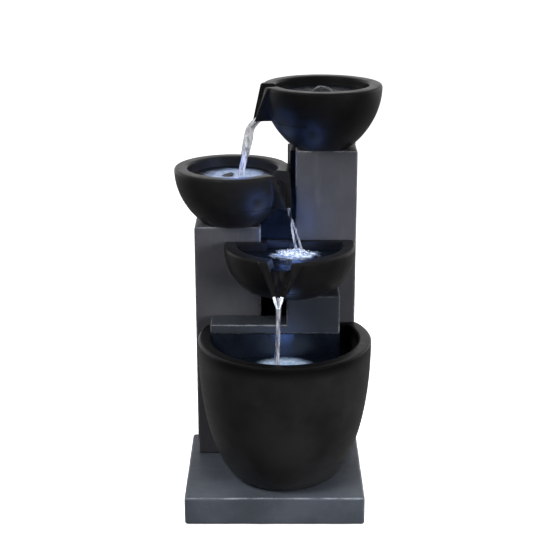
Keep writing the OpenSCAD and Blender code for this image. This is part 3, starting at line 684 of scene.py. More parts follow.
def pillar_fence(inset, deep):
    """The pillars' front faces, in plan, and the recess between them if deep"""
    left, right = low_of("left_column").y, low_of("right_column").y
    x0, x1 = low_of("centre_spine").x, high_of("centre_spine").x
    wide = 0.3
    if deep:
        back = left + RECESS_DEPTH
        return Fence([(-wide, left - inset), (x0 + inset, left - inset), (x0 + inset, back - inset),
                      (x1 - inset, back - inset), (x1 - inset, right - inset), (wide, right - inset)])
    return Fence([(-wide, left - inset), (x1 - inset, left - inset), (x1 - inset, right - inset),
                  (wide, right - inset)])


class Bowl:
    """One bowl: its place and size from the frame, its curve and its spout"""

    def __init__(self, node, centre, rim, base, dish, curve, spout=None, spread=0.024, outer=None,
                 inner=None):
        self.node = node
        self.centre = Vector(centre[:2])
        self.foot = low_of(node).z
        self.height = high_of(node).z - self.foot
        self.rim = rim
        self.base = base
        self.dish = dish
        self.curve = curve
        self.spout = None if spout is None else math.radians(spout)
        self.spread = spread
        self.outer = outer
        self.inner = inner

    def point(self, angle, reach, z):
        """The place at a direction, a distance from the axis and a height above the foot"""
        return Vector((self.centre.x + reach * math.cos(angle), self.centre.y + reach * math.sin(angle),
                       self.foot + z))

    def turn(self, angle):
        """Angle from the spout, between -pi and pi"""
        return (angle - self.spout + math.pi) % math.tau - math.pi if self.spout is not None else math.pi

    def aside(self):
        """Direction across the spout"""
        return Vector((-math.sin(self.spout), math.cos(self.spout), 0))

    def angles(self):
        """Directions of the columns of the mesh: close together at the spout and at corners"""
        found = [math.radians(3 * i) for i in range(120)]
        if self.spout is not None:
            found = [a for a in found if abs(self.turn(a)) > math.radians(27)]
            found += [self.spout + math.radians(0.75 * i) for i in range(-38, 39)]
        for fence in (self.outer, self.inner):
            if fence:
                found += fence.corners(self.centre)
        found = sorted(a % math.tau for a in found)
        kept = [found[0]]
        for angle in found[1:]:
            if angle - kept[-1] > math.radians(0.12):
                kept.append(angle)
        return kept

    def belly(self, z):
        """Outer radius at a height above the foot"""
        a, b = self.curve
        top = self.height - settings().bowl.rim_round
        share = min(max(z / top, 0.0), 1.0)
        cosine = (1 - share) ** (b / 2)
        sine = math.sqrt(max(0.0, 1 - cosine * cosine))
        return self.base + (self.rim - self.base) * sine ** (2 / a)

    def lip(self, angle, z):
        """The belly with the spout on it, at a height above the bowl's foot"""
        sizes = settings().bowl
        plain = self.belly(z)
        turn = abs(self.turn(angle))
        depth = self.height - z
        if self.spout is None or turn > math.radians(60) or depth > sizes.drop:
            return plain
        share = depth / sizes.drop
        front = self.rim + LIP + (sizes.reach - LIP) * share
        half = self.spread + (sizes.tip_half - self.spread) * share ** 0.85
        flank = half / max(math.sin(turn), 1e-4)
        reach = soft_least(front, flank, 0.003)
        reach = soft_most(plain, reach, 0.0025)
        down = max(0.0, (depth - sizes.sill) / (sizes.drop - sizes.sill))
        groove_half = CHANNEL_HALF + (sizes.tip_half - CHANNEL_WALL - CHANNEL_HALF) * min(1.0, down)
        groove = self.rim - 0.004 + (sizes.reach - 0.003) * down
        across = abs(reach * math.sin(turn))
        inside = smooth_step(across, groove_half + 0.0008, groove_half - 0.0008)
        return reach + (min(groove, reach) - reach) * inside

    def gap(self, angle):
        """1 where the rim is cut away for the spout's channel"""
        if self.spout is None:
            return 0.0
        across = self.rim * math.sin(min(abs(self.turn(angle)), math.pi / 2))
        return smooth_step(across, 0.0142, 0.0118)


def fin_shape(bowl):
    """Upright fin that closes the gap between a bowl's belly and the splash guard, so that the gap shows
    black: partly the dark wall behind it, partly painted shade
    """
    front = low_of("centre_spine").y + SPINE_STEP
    depth, height, sunk, gap = 0.022, 0.0255, 0.0004, 0.0004
    right = high_of("centre_spine").x - 0.0155
    shaped = bmesh.new()
    rings = []
    for y in np.linspace(front, front + depth, 9):
        away = y - bowl.centre.y
        outline = []
        for z in np.linspace(0.0, height, 12):
            reach = math.sqrt((bowl.belly(z) + gap) ** 2 - away * away)
            outline.append((bowl.centre.x + reach, bowl.foot + z - sunk))
        outline += [(right, outline[-1][1]), (right, outline[0][1])]
        rings.append([shaped.verts.new((x, y, z)) for x, z in outline])
    shaped.faces.new(rings[0])
    shaped.faces.new(list(reversed(rings[-1])))
    for ring, behind in zip(rings, rings[1:]):
        for k in range(len(ring)):
            after = (k + 1) % len(ring)
            shaped.faces.new((ring[after], ring[k], behind[k], behind[after]))
    bmesh.ops.recalc_face_normals(shaped, faces=shaped.faces)
    return shaped


def smooth_step(value, low, high):
    share = min(1.0, max(0.0, (value - low) / (high - low)))
    return share * share * (3 - 2 * share)


def soft_least(a, b, width):
    """The smaller of two lengths, blended where they are close"""
    return (a + b - math.sqrt((a - b) ** 2 + width * width)) / 2


def soft_most(a, b, width):
    """The larger of two lengths, blended where they are close"""
    return (a + b + math.sqrt((a - b) ** 2 + width * width)) / 2 - width / 6


def bowl_shape(bowl):
    """The whole bowl as one closed skin, from the hollow under it round to its dish"""
    sizes = settings().bowl
    height, rounding = bowl.height, sizes.rim_round
    floor = height - bowl.dish
    ceiling = floor - sizes.floor
    mouth = bowl.rim - sizes.wall
    flat = mouth * FLAT
    angles = bowl.angles()
    spouted = bowl.spout is not None
    tip = height - sizes.drop if spouted else 0.0
    count = 26 if spouted else 34
    # each row is its kind, its height or its share of the way, and its share of the way out
    rows = [("under", ceiling, 0.0), ("under", ceiling, 0.97), ("under", ceiling * 0.5, 1.0),
            ("under", 0.0006, 1.0), ("foot", 0.0, 0.012), ("foot", 0.0, 0.5), ("foot", 0.0, 0.988)]
    if spouted:
        rows += [("belly", tip * i / 14 - 0.0002, 0.0) for i in range(1, 15)]
    rows += [("side", share, 0.0) for share in [0.004] + [i / count for i in range(1, count + 1)]]
    rows += [("crown", share, 0.0) for share in (0.25, 0.5, 0.75, 1.0)]
    rows += [("crest", share, 0.0) for share in (0.33, 0.66)]
    rows += [("inside", share, 0.0) for share in (0.0, 0.25, 0.5, 0.75, 1.0)]
    rows += [("dish", i / 12, 0.0) for i in range(1, 12)]
    tops = [height - bowl.gap(a) * sizes.sill for a in angles]
    outs = [bowl.outer.reach(bowl.centre, a) if bowl.outer else FAR for a in angles]
    ins = [bowl.inner.reach(bowl.centre, a) if bowl.inner else FAR for a in angles]
    rings = [[Vector((bowl.centre.x, bowl.centre.y, bowl.foot + ceiling))]]
    for kind, value, share in rows[1:]:
        ring = []
        for angle, top, out, within in zip(angles, tops, outs, ins):
            shoulder = top - rounding
            outer = min(bowl.lip(angle, min(shoulder, height - rounding)), out)
            span = height - rounding - floor
            steep = math.acos(min(1.0, max(-1.0, 1 - (shoulder - floor) / span)))
            inner = min(flat + (mouth - flat) * math.sin(steep), within, outer - 0.004)
            z = value
            if kind == "under":
                reach = min((bowl.base - UNDERCUT) * share, within * 0.9)
            elif kind == "foot":
                start = min(bowl.base - UNDERCUT, within * 0.9)
                reach = start + (min(bowl.belly(0), out) - start) * share
            elif kind == "belly":
                reach = min(bowl.belly(z), out)
            elif kind == "side":
                z = tip + (shoulder - tip) * value
                reach = min(bowl.lip(angle, z), out)
            elif kind == "crown":
                turn = value * math.pi / 2
                reach = outer - rounding * (1 - math.cos(turn))
                z = shoulder + rounding * math.sin(turn)
            elif kind == "crest":
                reach = (outer - rounding) * (1 - value) + (inner + rounding) * value
                z = top
            elif kind == "inside":
                turn = (1 - value) * math.pi / 2
                reach = inner + rounding * (1 - math.cos(turn))
                z = shoulder + rounding * math.sin(turn)
            else:
                turn = steep * (1 - value)
                reach = min(flat + (mouth - flat) * math.sin(turn), within)
                z = floor + span * (1 - math.cos(turn))
            ring.append(bowl.point(angle, reach, z))
        rings.append(ring)
    middle = bowl.centre.to_3d()
    for share in (0.8, 0.55, 0.3):
        rings.append([Vector((middle.x + (p.x - middle.x) * share, middle.y + (p.y - middle.y) * share,
                              bowl.foot + floor)) for p in rings[-1]])
    rings.append([Vector((middle.x, middle.y, bowl.foot + floor))])
    return loft(rings)


def dish_reach(bowl, z):
    """Inner radius of the dish at a height above the bowl's foot"""
    sizes = settings().bowl
    floor = bowl.height - bowl.dish
    mouth = bowl.rim - sizes.wall
    flat = mouth * FLAT
    share = min(1.0, max(0.0, (z - floor) / (bowl.height - sizes.rim_round - floor)))
    cosine = 1 - share
    return flat + (mouth - flat) * math.sqrt(max(0.0, 1 - cosine * cosine))


def make_bowls():
    """The four bowls, with their places worked out from the frame"""
    top_low, top_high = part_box("top_bowl")
    second_low, second_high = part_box("second_bowl")
    third_low, third_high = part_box("third_bowl")
    basin_low, basin_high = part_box("basin")
    top_rim = (top_high.y - top_low.y) / 2
    second_rim = (second_high.y - second_low.y) / 2
    third_rim = (third_high.x - third_low.x) / 2
    rear = settings().bowl.rear_wall
    basin_middle = at(12, -14.5)
    return {
        "top": Bowl("top_bowl", (top_high.x - top_rim, top_high.y - top_rim), top_rim, 0.0324, 0.030,
                    (1.2, 2.0), 191, 0.024),
        "second": Bowl("second_bowl", (second_low.x + second_rim, second_high.y - second_rim), second_rim,
                       0.036, 0.028, (1.2, 2.0), -33, 0.023),
        "third": Bowl("third_bowl", (third_low.x + third_rim, at(0, 20).y), third_rim, 0.035, 0.029,
                      (2.0, 2.0), 261, 0.028, pillar_fence(0.0, True), pillar_fence(rear - 0.001, True)),
        "basin": Bowl("basin", basin_middle, basin_middle.y - basin_low.y, 0.057, 0.1675,
                      (1.6, 2.2), None, 0.0, pillar_fence(0.0, False), pillar_fence(rear, False)),
    }


# ---------- Water ----------

def pool_shape(bowl, level, ripple, seed, swell):
    """The water in a bowl, out over the sill if it has a spout, with one swell on it"""
    depth = 0.0014
    tuck = 0.0003
    angles = bowl.angles()
    surface = bowl.height - level
    peak, radius, rise = Vector(swell[0][:2]), swell[1], swell[2]
    limits = []
    for angle in angles:
        reach = dish_reach(bowl, surface) + tuck
        if bowl.inner:
            reach = min(reach, bowl.inner.reach(bowl.centre, angle) + tuck)
        limits.append(bowl.rim - 0.0045 if bowl.gap(angle) > 0.6 else reach)
    rings = []
    for share in [i / 34 for i in range(1, 35)]:
        ring = []
        for angle, limit in zip(angles, limits):
            place = bowl.point(angle, limit * share, surface)
            wave = noise.noise(Vector((*place.xy * 95.0, 0)) + Vector((seed, 0, 0))) * 0.6
            wave += noise.noise(Vector((*place.xy * 240.0, 0)) + Vector((0, seed, 0))) * 0.4
            calm = 1.0 - 0.75 * smooth_step(share, 0.85, 1.0)
            away = (place.xy - peak).length
            place.z += wave * ripple * calm + rise * math.exp(-(away / radius) ** 4) * (1 + 0.2 * wave)
            ring.append(place)
        rings.append(ring)
    middle = Vector((bowl.centre.x, bowl.centre.y, bowl.foot + surface))
    below = middle - Vector((0, 0, depth))
    under = [Vector((p.x, p.y, below.z)) for p in rings[-1]]
    middle.z += rise * math.exp(-((middle.xy - peak).length / radius) ** 4)
    return loft([[middle], *rings, under, [below]])


def curve_through(points, count):
    """Points spread along a smooth line through the given ones"""
    found = []
    ends = [points[0] * 2 - points[1], *points, points[-1] * 2 - points[-2]]
    for i in range(1, len(ends) - 2):
        a, b, c, d = ends[i - 1:i + 3]
        for k in range(count):
            t = k / count
            found.append(0.5 * ((2 * b) + (c - a) * t + (2 * a - 5 * b + 4 * c - d) * t * t
                                + (3 * b - a - 3 * c + d) * t ** 3))
    found.append(points[-1])
    return found


def ribbon_shape(points, half_widths, thickness, side, seed, ridges=0.5, count=20, steps=6):
    """A sheet of running water along a line, ridged down its length"""
    path = curve_through([Vector(p) for p in points], steps)
    last = len(path) - 1
    side = Vector(side).normalized()
    rings = []
    for i, place in enumerate(path):
        along = (path[min(i + 1, last)] - path[max(i - 1, 0)]).normalized()
        across = (side - along * side.dot(along)).normalized()
        out = across.cross(along).normalized()
        whole = i / last * (len(half_widths) - 1)
        k = min(int(whole), len(half_widths) - 2)
        half = half_widths[k] + (half_widths[k + 1] - half_widths[k]) * (whole - k)
        thin = thickness * (0.8 + 0.5 * noise.noise(place * 110.0 + Vector((seed, 0, 0))))
        ring = []
        for j in range(count):
            turn = math.tau * j / count
            fold = 1.0 + ridges * noise.noise(Vector((math.cos(turn) * 2.2, math.sin(turn) * 2.2,
                                                      place.z * 22.0 + seed)))
            ring.append(place + across * half * math.cos(turn) * (0.85 + 0.15 * fold)
                        + out * thin * math.sin(turn) * fold)
        rings.append(ring)
    return loft([[path[0]], *rings, [path[-1]]])


def spout_run(bowl, level, fall):
    """The line of the water over a bowl's sill, down its channel and on through the air"""
    sizes = settings().bowl
    out = Vector((math.cos(bowl.spout), math.sin(bowl.spout), 0))
    middle = Vector((bowl.centre.x, bowl.centre.y, 0))
    surface = bowl.foot + bowl.height - level
    sill = bowl.foot + bowl.height - sizes.sill
    rows = [(bowl.rim - 0.024, surface - 0.0004), (bowl.rim - 0.012, surface - 0.0002),
            (bowl.rim - 0.0055, sill + 0.0010), (bowl.rim - 0.0030, sill - 0.0012),
            (bowl.rim - 0.0012, sill - 0.010), (bowl.rim + 0.0030, sill - 0.026)]
    points = [middle + out * r + Vector((0, 0, z)) for r, z in rows]
    return points + [Vector(p) for p in fall]


def foam_shape(centre, radii, count, seed, low=0.0003, high=0.0011):
    """A patch of small drops and bubbles on the water"""
    shaped = bmesh.new()
    for i in range(count):
        spin = noise.noise(Vector((i * 3.7 + seed, 0.3, 0.1))) * 9.0 + i * 2.39996
        reach = math.sqrt((i + 0.5) / count)
        size = low + (high - low) * abs(noise.noise(Vector((i * 1.9, seed, 0.7)))) * 2.2
        size = min(size, high) * (1.15 - 0.5 * reach)
        aside = Vector((math.cos(spin) * radii[0], math.sin(spin) * radii[1], 0.0)) * reach
        place = Vector(centre) + aside + Vector((0.0, 0.0, size * 0.25))
        made = bmesh.ops.create_icosphere(shaped, subdivisions=2, radius=size)
        for vert in made["verts"]:
            wobble = 1.0 + 0.25 * noise.noise(vert.co * 900.0 + Vector((i, seed, 0)))
            vert.co = Vector((vert.co.x * wobble * 1.2, vert.co.y * wobble * 1.2, vert.co.z * 0.55)) + place
    return shaped


# ---------- Carried-over parts ----------

def dress(node, material, soften):
    """Gives a part of the frame its finish, and rounds its sharp edges"""
    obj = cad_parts[node]
    if not obj.material_slots:
        obj.data.materials.append(material)
    for place in obj.material_slots:
        place.link = "OBJECT"
        place.material = material
    weld = obj.modifiers.new("weld", "WELD")
    weld.merge_threshold = 0.00001
    if soften:
        round_off = obj.modifiers.new("soften", "BEVEL")
        round_off.width = soften
        round_off.segments = 2
        round_off.limit_method = "ANGLE"
        round_off.angle_limit = math.radians(40)
        round_off.harden_normals = True
        round_off.use_clamp_overlap = True


def dress_all(soften, finishes):
    for node, material in finishes.items():
        dress(node, material, soften)


# ---------- Operators ----------

class FOUNTAIN_OT_plinth(bpy.types.Operator):
    """Cast the slate plinth, and finish its cover, feet and screws"""

    bl_idname = "fountain.plinth"
    bl_label = "Plinth"

    def execute(self, context):
        low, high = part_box("base_plinth")
        wall = Vector((PLINTH_WALL, PLINTH_WALL, 0))
        room = box_mesh(low + wall - Vector((0, 0, PAST)), high - wall - Vector((0, 0, PLINTH_WALL)))
        show("cast_plinth", carve(cast_block(low, high, 0.006, 3.0), [room]), slate_finish(low, high),
             replaces=["base_plinth"])
        dress("bottom_cover", moulded_finish("cover_plastic", (0.02, 0.02, 0.022), 0.5), 0.0005)
        dress("rubber_feet", moulded_finish("foot_rubber", (0.012, 0.012, 0.012), 0.8, 500.0, 0.2), 0.0005)
        dress("bottom_cover_screws", metal_finish("screw_steel", (0.45, 0.45, 0.46)), 0.0001)
        return {"FINISHED"}


class FOUNTAIN_OT_pillars(bpy.types.Operator):
    """Cast the two pillars, with the dark recess between them and the rear panel"""

    bl_idname = "fountain.pillars"
    bl_label = "Pillars"

    def execute(self, context):
        grown = Vector((0, settings().cast.edge * 1.5, 0))
        for side, stand, hole_radius, seed in (("left", at(-51, 60), 0.020, 11.0),
                                               ("right", at(57, 64), 0.017, 17.0)):
            node = side + "_column"
            low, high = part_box(node)
            inner_wall = high.x - PILLAR_WALL if side == "left" else low.x
            cutters = [
                box_mesh((low.x + PILLAR_WALL, low.y + PILLAR_WALL, low.z - PAST),
                         (high.x - PILLAR_WALL, high.y + PAST, high.z - PILLAR_WALL)),
                box_mesh((WELL_LOW.x - WELL_GAP, PLINTH.y, WELL_LOW.z - WELL_GAP),
                         WELL_HIGH + Vector((WELL_GAP, WELL_GAP, WELL_GAP))),
                rod_mesh((stand.x, stand.y, high.z - 0.009), (stand.x, stand.y, high.z + PAST), hole_radius),
                box_mesh((inner_wall - PAST, at(0, 51).y, 0.2054),
                         (inner_wall + PILLAR_WALL + PAST, high.y + PAST, 0.312)),
            ]
            if side == "right":
                cutters.append(rod_mesh((WIRE_HOLE.x, low.y - PAST, WIRE_HOLE.z),
                                        (WIRE_HOLE.x, low.y + 0.008, WIRE_HOLE.z), 0.004))
            cutters.append(box_mesh((low.x - 0.01, high.y, low.z - 0.01),
                                    (high.x + 0.01, high.y + 0.02, high.z + 0.01)))
            shaped = cast_block(low, high + grown, 0.008, seed, 0.0005)
            show(side + "_pillar", carve(shaped, cutters),
                 pillar_finish(low, Vector((high.x, high.y + 0.01, high.z))),
                 replaces=[node])
        # The recess is black paint darkened to 0.3, partly real and partly painted shade; the fin in it is a
        # black sheet put where the gap shows shade
        recess_black_and_shade = wet_finish("recess_black_and_shade", 0.12, 0.40, 0.3)
        dress("centre_spine", recess_black_and_shade, 0.0006)
        show("shade_fin", fin_shape(make_bowls()["second"]), recess_black_and_shade)
        dress("rear_panel", pillar_finish(*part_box("rear_panel")), 0.0009)
        return {"FINISHED"}


class FOUNTAIN_OT_door(bpy.types.Operator):
    """Finish the access door, its pull and the panel's screws"""

    bl_idname = "fountain.door"
    bl_label = "Access door"

    def execute(self, context):
        dress("access_door", pillar_finish(*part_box("access_door")), 0.0009)
        dress("door_pull", moulded_finish("pull_plastic", (0.02, 0.02, 0.022), 0.4), 0.0005)
        dress("rear_panel_screws", metal_finish("panel_screw_steel", (0.42, 0.42, 0.43)), 0.0001)
        dress("cable_gland", moulded_finish("gland_nylon", (0.018, 0.018, 0.02), 0.5), 0.0003)
        return {"FINISHED"}


class FOUNTAIN_OT_step(bpy.types.Operator):
    """Cast the low and the high part of the step block"""

    bl_idname = "fountain.step"
    bl_label = "Step block"

    def execute(self, context):
        low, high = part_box("step_block")
        split = at(14, 0).x
        back = low_of("left_column").y
        top = 0.2275
        # The step block takes the plinth's slate darkened to 0.36
        step_tone = 0.36
        wall = 0.008
        room = box_mesh((low.x + wall, low.y + wall, low.z - PAST), (split + 0.02, back + PAST, top - wall))
        show("low_step", carve(cast_block(low, (split + 0.006, back, top), 0.006, 23.0), [room]),
             slate_finish(low, (split + 0.03, back, top), step_tone), replaces=["step_block"])
        room = box_mesh((split + wall, low.y + wall, low.z - PAST), high - Vector((wall, wall, wall)))
        corner = Vector((split, low.y, low.z))
        show("high_step", carve(cast_block(corner, high, 0.006, 29.0), [room]),
             slate_finish(corner, high, step_tone))
        return {"FINISHED"}


class FOUNTAIN_OT_basin(bpy.types.Operator):
    """Turn the catch basin, with the pump's well behind it"""

    bl_idname = "fountain.basin"
    bl_label = "Basin"

    def execute(self, context):
        body = carve(bowl_shape(make_bowls()["basin"]), [box_mesh(WELL_LOW, WELL_HIGH)], "UNION")
        room = carve(box_mesh(at(-40, 12, 68), at(70, 38.5, 199)),
                     [box_mesh(at(-39.8, 37.5, 68.2), at(69.8, 74, 206))], "UNION")
        # The basin's tone of 3.4 lightens its black paint, painted light; from 20 mm below the rim upwards
        # it is darkened, painted shade
        show("catch_basin", carve(body, [room]),
             bowl_finish("basin_black", 3.4, high_of("basin").z - 0.020),
             replaces=["basin"])
        dress("pump_chamber_wall", wet_finish(), 0.0006)
        return {"FINISHED"}


class FOUNTAIN_OT_bowls(bpy.types.Operator):
    """Turn the three bowls with their spouts"""

    bl_idname = "fountain.bowls"
    bl_label = "Bowls"

    def execute(self, context):
        bowls = make_bowls()
        # Each bowl's tone lightens the same black paint by its own amount, painted light and shade matching
        # how bright that bowl looks
        for name, tone in (("top", 1.2), ("second", 2.2), ("third", 1.8)):
            bowl = bowls[name]
            show(name + "_spouted_bowl", bowl_shape(bowl), bowl_finish(name + "_bowl_black", tone),
                 replaces=[bowl.node])
        return {"FINISHED"}


class FOUNTAIN_OT_pools(bpy.types.Operator):
    """Fill the bowls and the basin with water, lit by the lamps under it"""

    bl_idname = "fountain.pools"
    bl_label = "Pools"

    def execute(self, context):
        bowls = make_bowls()
        water = settings().water
        level_shine = (1, 1, 0)
        spring = centre_of("outlet_gasket")
        second = LampGlow(at(-48, 62, 396), 0.043, level_shine, (0.20, 0.27, 0.46), 0.35, 0.25,
                          at(-57, 62, 396))
        third = LampGlow(at(24, 8, 314), 0.032, (1, 1.3, 0), (0.10, 0.20, 0.50), 1.3, 1.0)
        basin = LampGlow(at(12, -48, 186), 0.044, level_shine, (0.24, 0.34, 0.50), 0.2, 0.3)
        # level below the rim, ripple height, seed, swells (place, radius, rise), ripple of the finish, lamp
        pools = (
            ("top", water.top_level, 0.0007, 2.0, (spring, 0.0125, 0.0068), 0.8, None),
            ("second", water.second_level, 0.0009, 5.0, (at(-52, 66), 0.008, 0.002), 0.6, second),
            ("third", water.third_level, 0.0012, 8.0, (at(28.5, 22), 0.009, 0.003), 1.0, third),
            ("basin", water.basin_level, 0.0013, 11.0, (at(5, -67), 0.010, 0.002), 0.6, basin),
        )
        for name, level, height, seed, swell, ripple, glow in pools:
            show(name + "_pool", pool_shape(bowls[name], level, height, seed, swell),
                 water_finish(name + "_water", ripple, glow))
        return {"FINISHED"}


class FOUNTAIN_OT_falls(bpy.types.Operator):
    """Pour the water from bowl to bowl"""

    bl_idname = "fountain.falls"
    bl_label = "Falls"

    def execute(self, context):
        bowls = make_bowls()
        water = settings().water
        # Every fall glows by its emission, painted light: grey and white for light caught in the falling
        # water and foam, blue for the lamps' light in it
        grey = falling_finish("grey_fall", (0.20, 0.21, 0.22), 0.30, 0.16, 0.50)
        blue_lamplit = falling_finish("blue_lamplit_fall", (0.05, 0.08, 0.14), 0.0, 0.25, 0.50)
        dark = falling_finish("dark_run", (0.002, 0.004, 0.010), 0.0, 0.02, 0.012)
        white = falling_finish("foam_white", (0.62, 0.70, 0.82), 0.7, 0.35, 0.9)
        slanted, straight = (1.0, -0.25, 0), (1, 0, 0)
        first = spout_run(bowls["top"], water.top_level,
                          [at(-28, 50.8, 458), at(-31.5, 52.5, 445), at(-36, 56, 423), at(-39.5, 60, 405),
                           at(-41, 62, 396)])
        second = spout_run(bowls["second"], water.second_level, [at(19.5, 13.5, 352)])
        third = spout_run(bowls["third"], water.third_level, [at(4.2, -71, 276)])
        # path, half-widths along it in mm, thickness in mm, direction of its width, seed, ridges, finish
        streams = {
            "first_run": (first[:7], (11, 11, 10, 9, 6, 4.5, 4), 1.0, bowls["top"].aside(), 1, 0.5, dark),
            "first_fall": (first[5:9], (3.8, 4.8, 5.8, 5.2), 1.6, slanted, 2, 0.8, grey),
            "first_strand_left": ([at(-33.5, 54, 432), at(-39.5, 58, 413), at(-43, 62, 396)],
                                  (3.0, 2.2, 1.4), 1.2, slanted, 3, 0.8, grey),
            "first_strand_right": ([at(-33, 54, 432), at(-36.5, 58, 413), at(-38, 62, 396)],
                                   (3.0, 2.4, 1.2), 1.2, slanted, 9, 0.8, grey),
            "second_run": (second, (10, 10, 9, 8, 6, 4, 3), 1.1, bowls["second"].aside(), 4, 0.5, dark),
            "second_fall_left": ([at(17, 14, 368), at(19.5, 15, 350), at(24, 19, 325), at(26, 21, 314)],
                                 (2.2, 1.6, 1.4, 2.2), 1.2, slanted, 5, 0.8, blue_lamplit),
            "second_fall_right": ([at(20.5, 13.5, 354), at(26, 17, 338), at(31, 21, 320), at(32.5, 22, 313)],
                                  (1.4, 1.3, 1.3, 2.0), 1.2, slanted, 6, 0.8, blue_lamplit),
            "third_run": (third, (11, 11, 10, 9, 7, 4.5, 4), 1.2, straight, 7, 0.5, dark),
            "third_fall": ([at(4.2, -70.5, 284), at(4.3, -71.5, 262), at(3.4, -72, 225), at(2.2, -72, 186)],
                           (5.0, 3.0, 2.7, 2.7, 3.4), 1.6, straight, 8, 0.9, blue_lamplit),
            "third_strand_left": ([at(-0.8, -70.2, 285), at(0.8, -70.9, 279), at(3.2, -71.4, 271)],
                                  (1.7, 1.8, 1.0), 1.3, straight, 12, 0.8, white),
            "third_strand_right": ([at(8.4, -70.2, 285), at(7.2, -70.9, 279), at(5.0, -71.4, 271)],
                                   (1.9, 1.9, 1.0), 1.3, straight, 13, 0.8, white),
        }
        for name, (path, halves, thickness, side, seed, ridges, finish) in streams.items():
            halves = [half * MM for half in halves]
            show(name, ribbon_shape(path, halves, thickness * MM, side, seed, ridges), finish)
        # The foam patches take the white finish: real white foam that glows by painted light
        patches = (("second_foam", at(-50, 44, 396.4), (0.012, 0.007), 34, 1.0),
                   ("third_foam", at(24, 6, 314.8), (0.021, 0.016), 80, 2.0),
                   ("basin_foam", at(7, -66, 186.4), (0.016, 0.010), 60, 3.0))
        for name, centre, radii, count, seed in patches:
            show(name, foam_shape(centre, radii, count, seed), white)
        return {"FINISHED"}


class FOUNTAIN_OT_pump(bpy.types.Operator):
    """Finish the pump, its cover, dial, hose and fittings"""

    bl_idname = "fountain.pump"
    bl_label = "Pump and plumbing"

    def execute(self, context):
        black = moulded_finish("fitting_plastic", (0.014, 0.014, 0.016), 0.42)
        casing = moulded_finish("pump_plastic", (0.022, 0.024, 0.028), 0.38)
        rubber = moulded_finish("seal_rubber", (0.012, 0.012, 0.013), 0.75, 450.0, 0.15)
        dress_all(0.0003, {"outlet_fitting": black, "outlet_nut": black, "bubbler_cap": black,
                           "pump_body": casing, "impeller_cap": casing, "pump_intake_cover": casing})
        dress_all(0.0002, {"flow_dial": moulded_finish("dial_plastic", (0.05, 0.09, 0.16), 0.4),
                           "impeller": moulded_finish("impeller_plastic", (0.55, 0.56, 0.58), 0.35),
                           "outlet_gasket": rubber, "suction_cups": rubber})
        ceramic = moulded_finish("shaft_ceramic", (0.8, 0.8, 0.78), 0.2, 900.0, 0.05)
        dress_all(0.0001, {"impeller_shaft": ceramic,
                           "hose_clamps": metal_finish("clamp_steel", (0.6, 0.6, 0.62), 0.25)})
        dress("filter_sponge", foam_finish(), 0.0005)
        dress("riser_hose", hose_finish(), 0.0)
        return {"FINISHED"}


class FOUNTAIN_OT_wiring(bpy.types.Operator):
    """Finish the lamps, their leads and the junction box"""

    bl_idname = "fountain.wiring"
    bl_label = "Lamps and wiring"

    def execute(self, context):
        shell = moulded_finish("lamp_plastic", (0.012, 0.012, 0.014), 0.35)
        board = moulded_finish("lamp_board", (0.6, 0.62, 0.6), 0.5)
        lens = lens_finish()
        sheath = moulded_finish("lead_sheath", (0.015, 0.015, 0.015), 0.55, 600.0, 0.2)
        box = moulded_finish("box_plastic", (0.05, 0.05, 0.055), 0.5)
        for place in ("second", "third", "basin"):
            dress(place + "_lamp_housing", shell, 0.0003)
            dress(place + "_lamp_board", board, 0.0001)
            dress(place + "_lamp_lens", lens, 0.0002)
            dress(place + "_lamp_lead", sheath, 0.0)
        dress("pump_lead", sheath, 0.0)
        dress_all(0.0004, {"junction_box": box, "junction_lid": box})
        dress_all(0.0002, {"lamp_nuts": shell,
                           "terminal_strip": moulded_finish("terminal_nylon", (0.55, 0.55, 0.52), 0.45),
                           "cable_clips": moulded_finish("clip_nylon", (0.03, 0.03, 0.03), 0.5)})
        dress("junction_screws", metal_finish("box_screw_steel", (0.5, 0.5, 0.51)), 0.0001)
        return {"FINISHED"}


def studio_world():
    """White walls behind and above, and darker ones in front"""
    f = Finish("studio", "worlds")
    back, up = f.axes(f.node("ShaderNodeTexCoord", out="Generated"))[1:]
    behind = f.between(back, -0.15, 0.55, 0.05, 1.0)
    above = f.between(up, -0.35, 0.05, 0.15, 1.0)
    high = f.between(up, 0.05, 0.35, 1.0, 0.55)
    light = f.node("ShaderNodeBackground", None, {"Color": (1, 1, 1), "Strength": behind * above * high})
    output = f.tree.nodes.new("ShaderNodeOutputWorld")
    f.tree.links.new(light.socket, output.inputs["Surface"])
    return f.material


def studio_piece(name, mesh, lit):
    """A pale piece of the studio that shines on nothing and shows in no reflection"""
    f = Finish("pale_" + name)
    tone = f.blend(f.noise(3.0, 3.0, 0.5), (0.93, 0.93, 0.93), (0.95, 0.95, 0.95))
    mesh.materials.append(f.done(Base_Color=tone, Roughness=0.9, Specular_IOR_Level=0.0,
                                 Emission_Color=(1, 1, 1), Emission_Strength=lit))
    piece = bpy.data.objects.new(name, mesh)
    bpy.context.scene.collection.objects.link(piece)
    piece.visible_glossy = False
    piece.visible_diffuse = False
    return piece


def place_light(name, kind, place, power):
    light = bpy.data.lights.new(name, kind)
    light.energy = power
    lamp = bpy.data.objects.new(name, light)
    lamp.location = place
    bpy.context.scene.collection.objects.link(lamp)
    return lamp


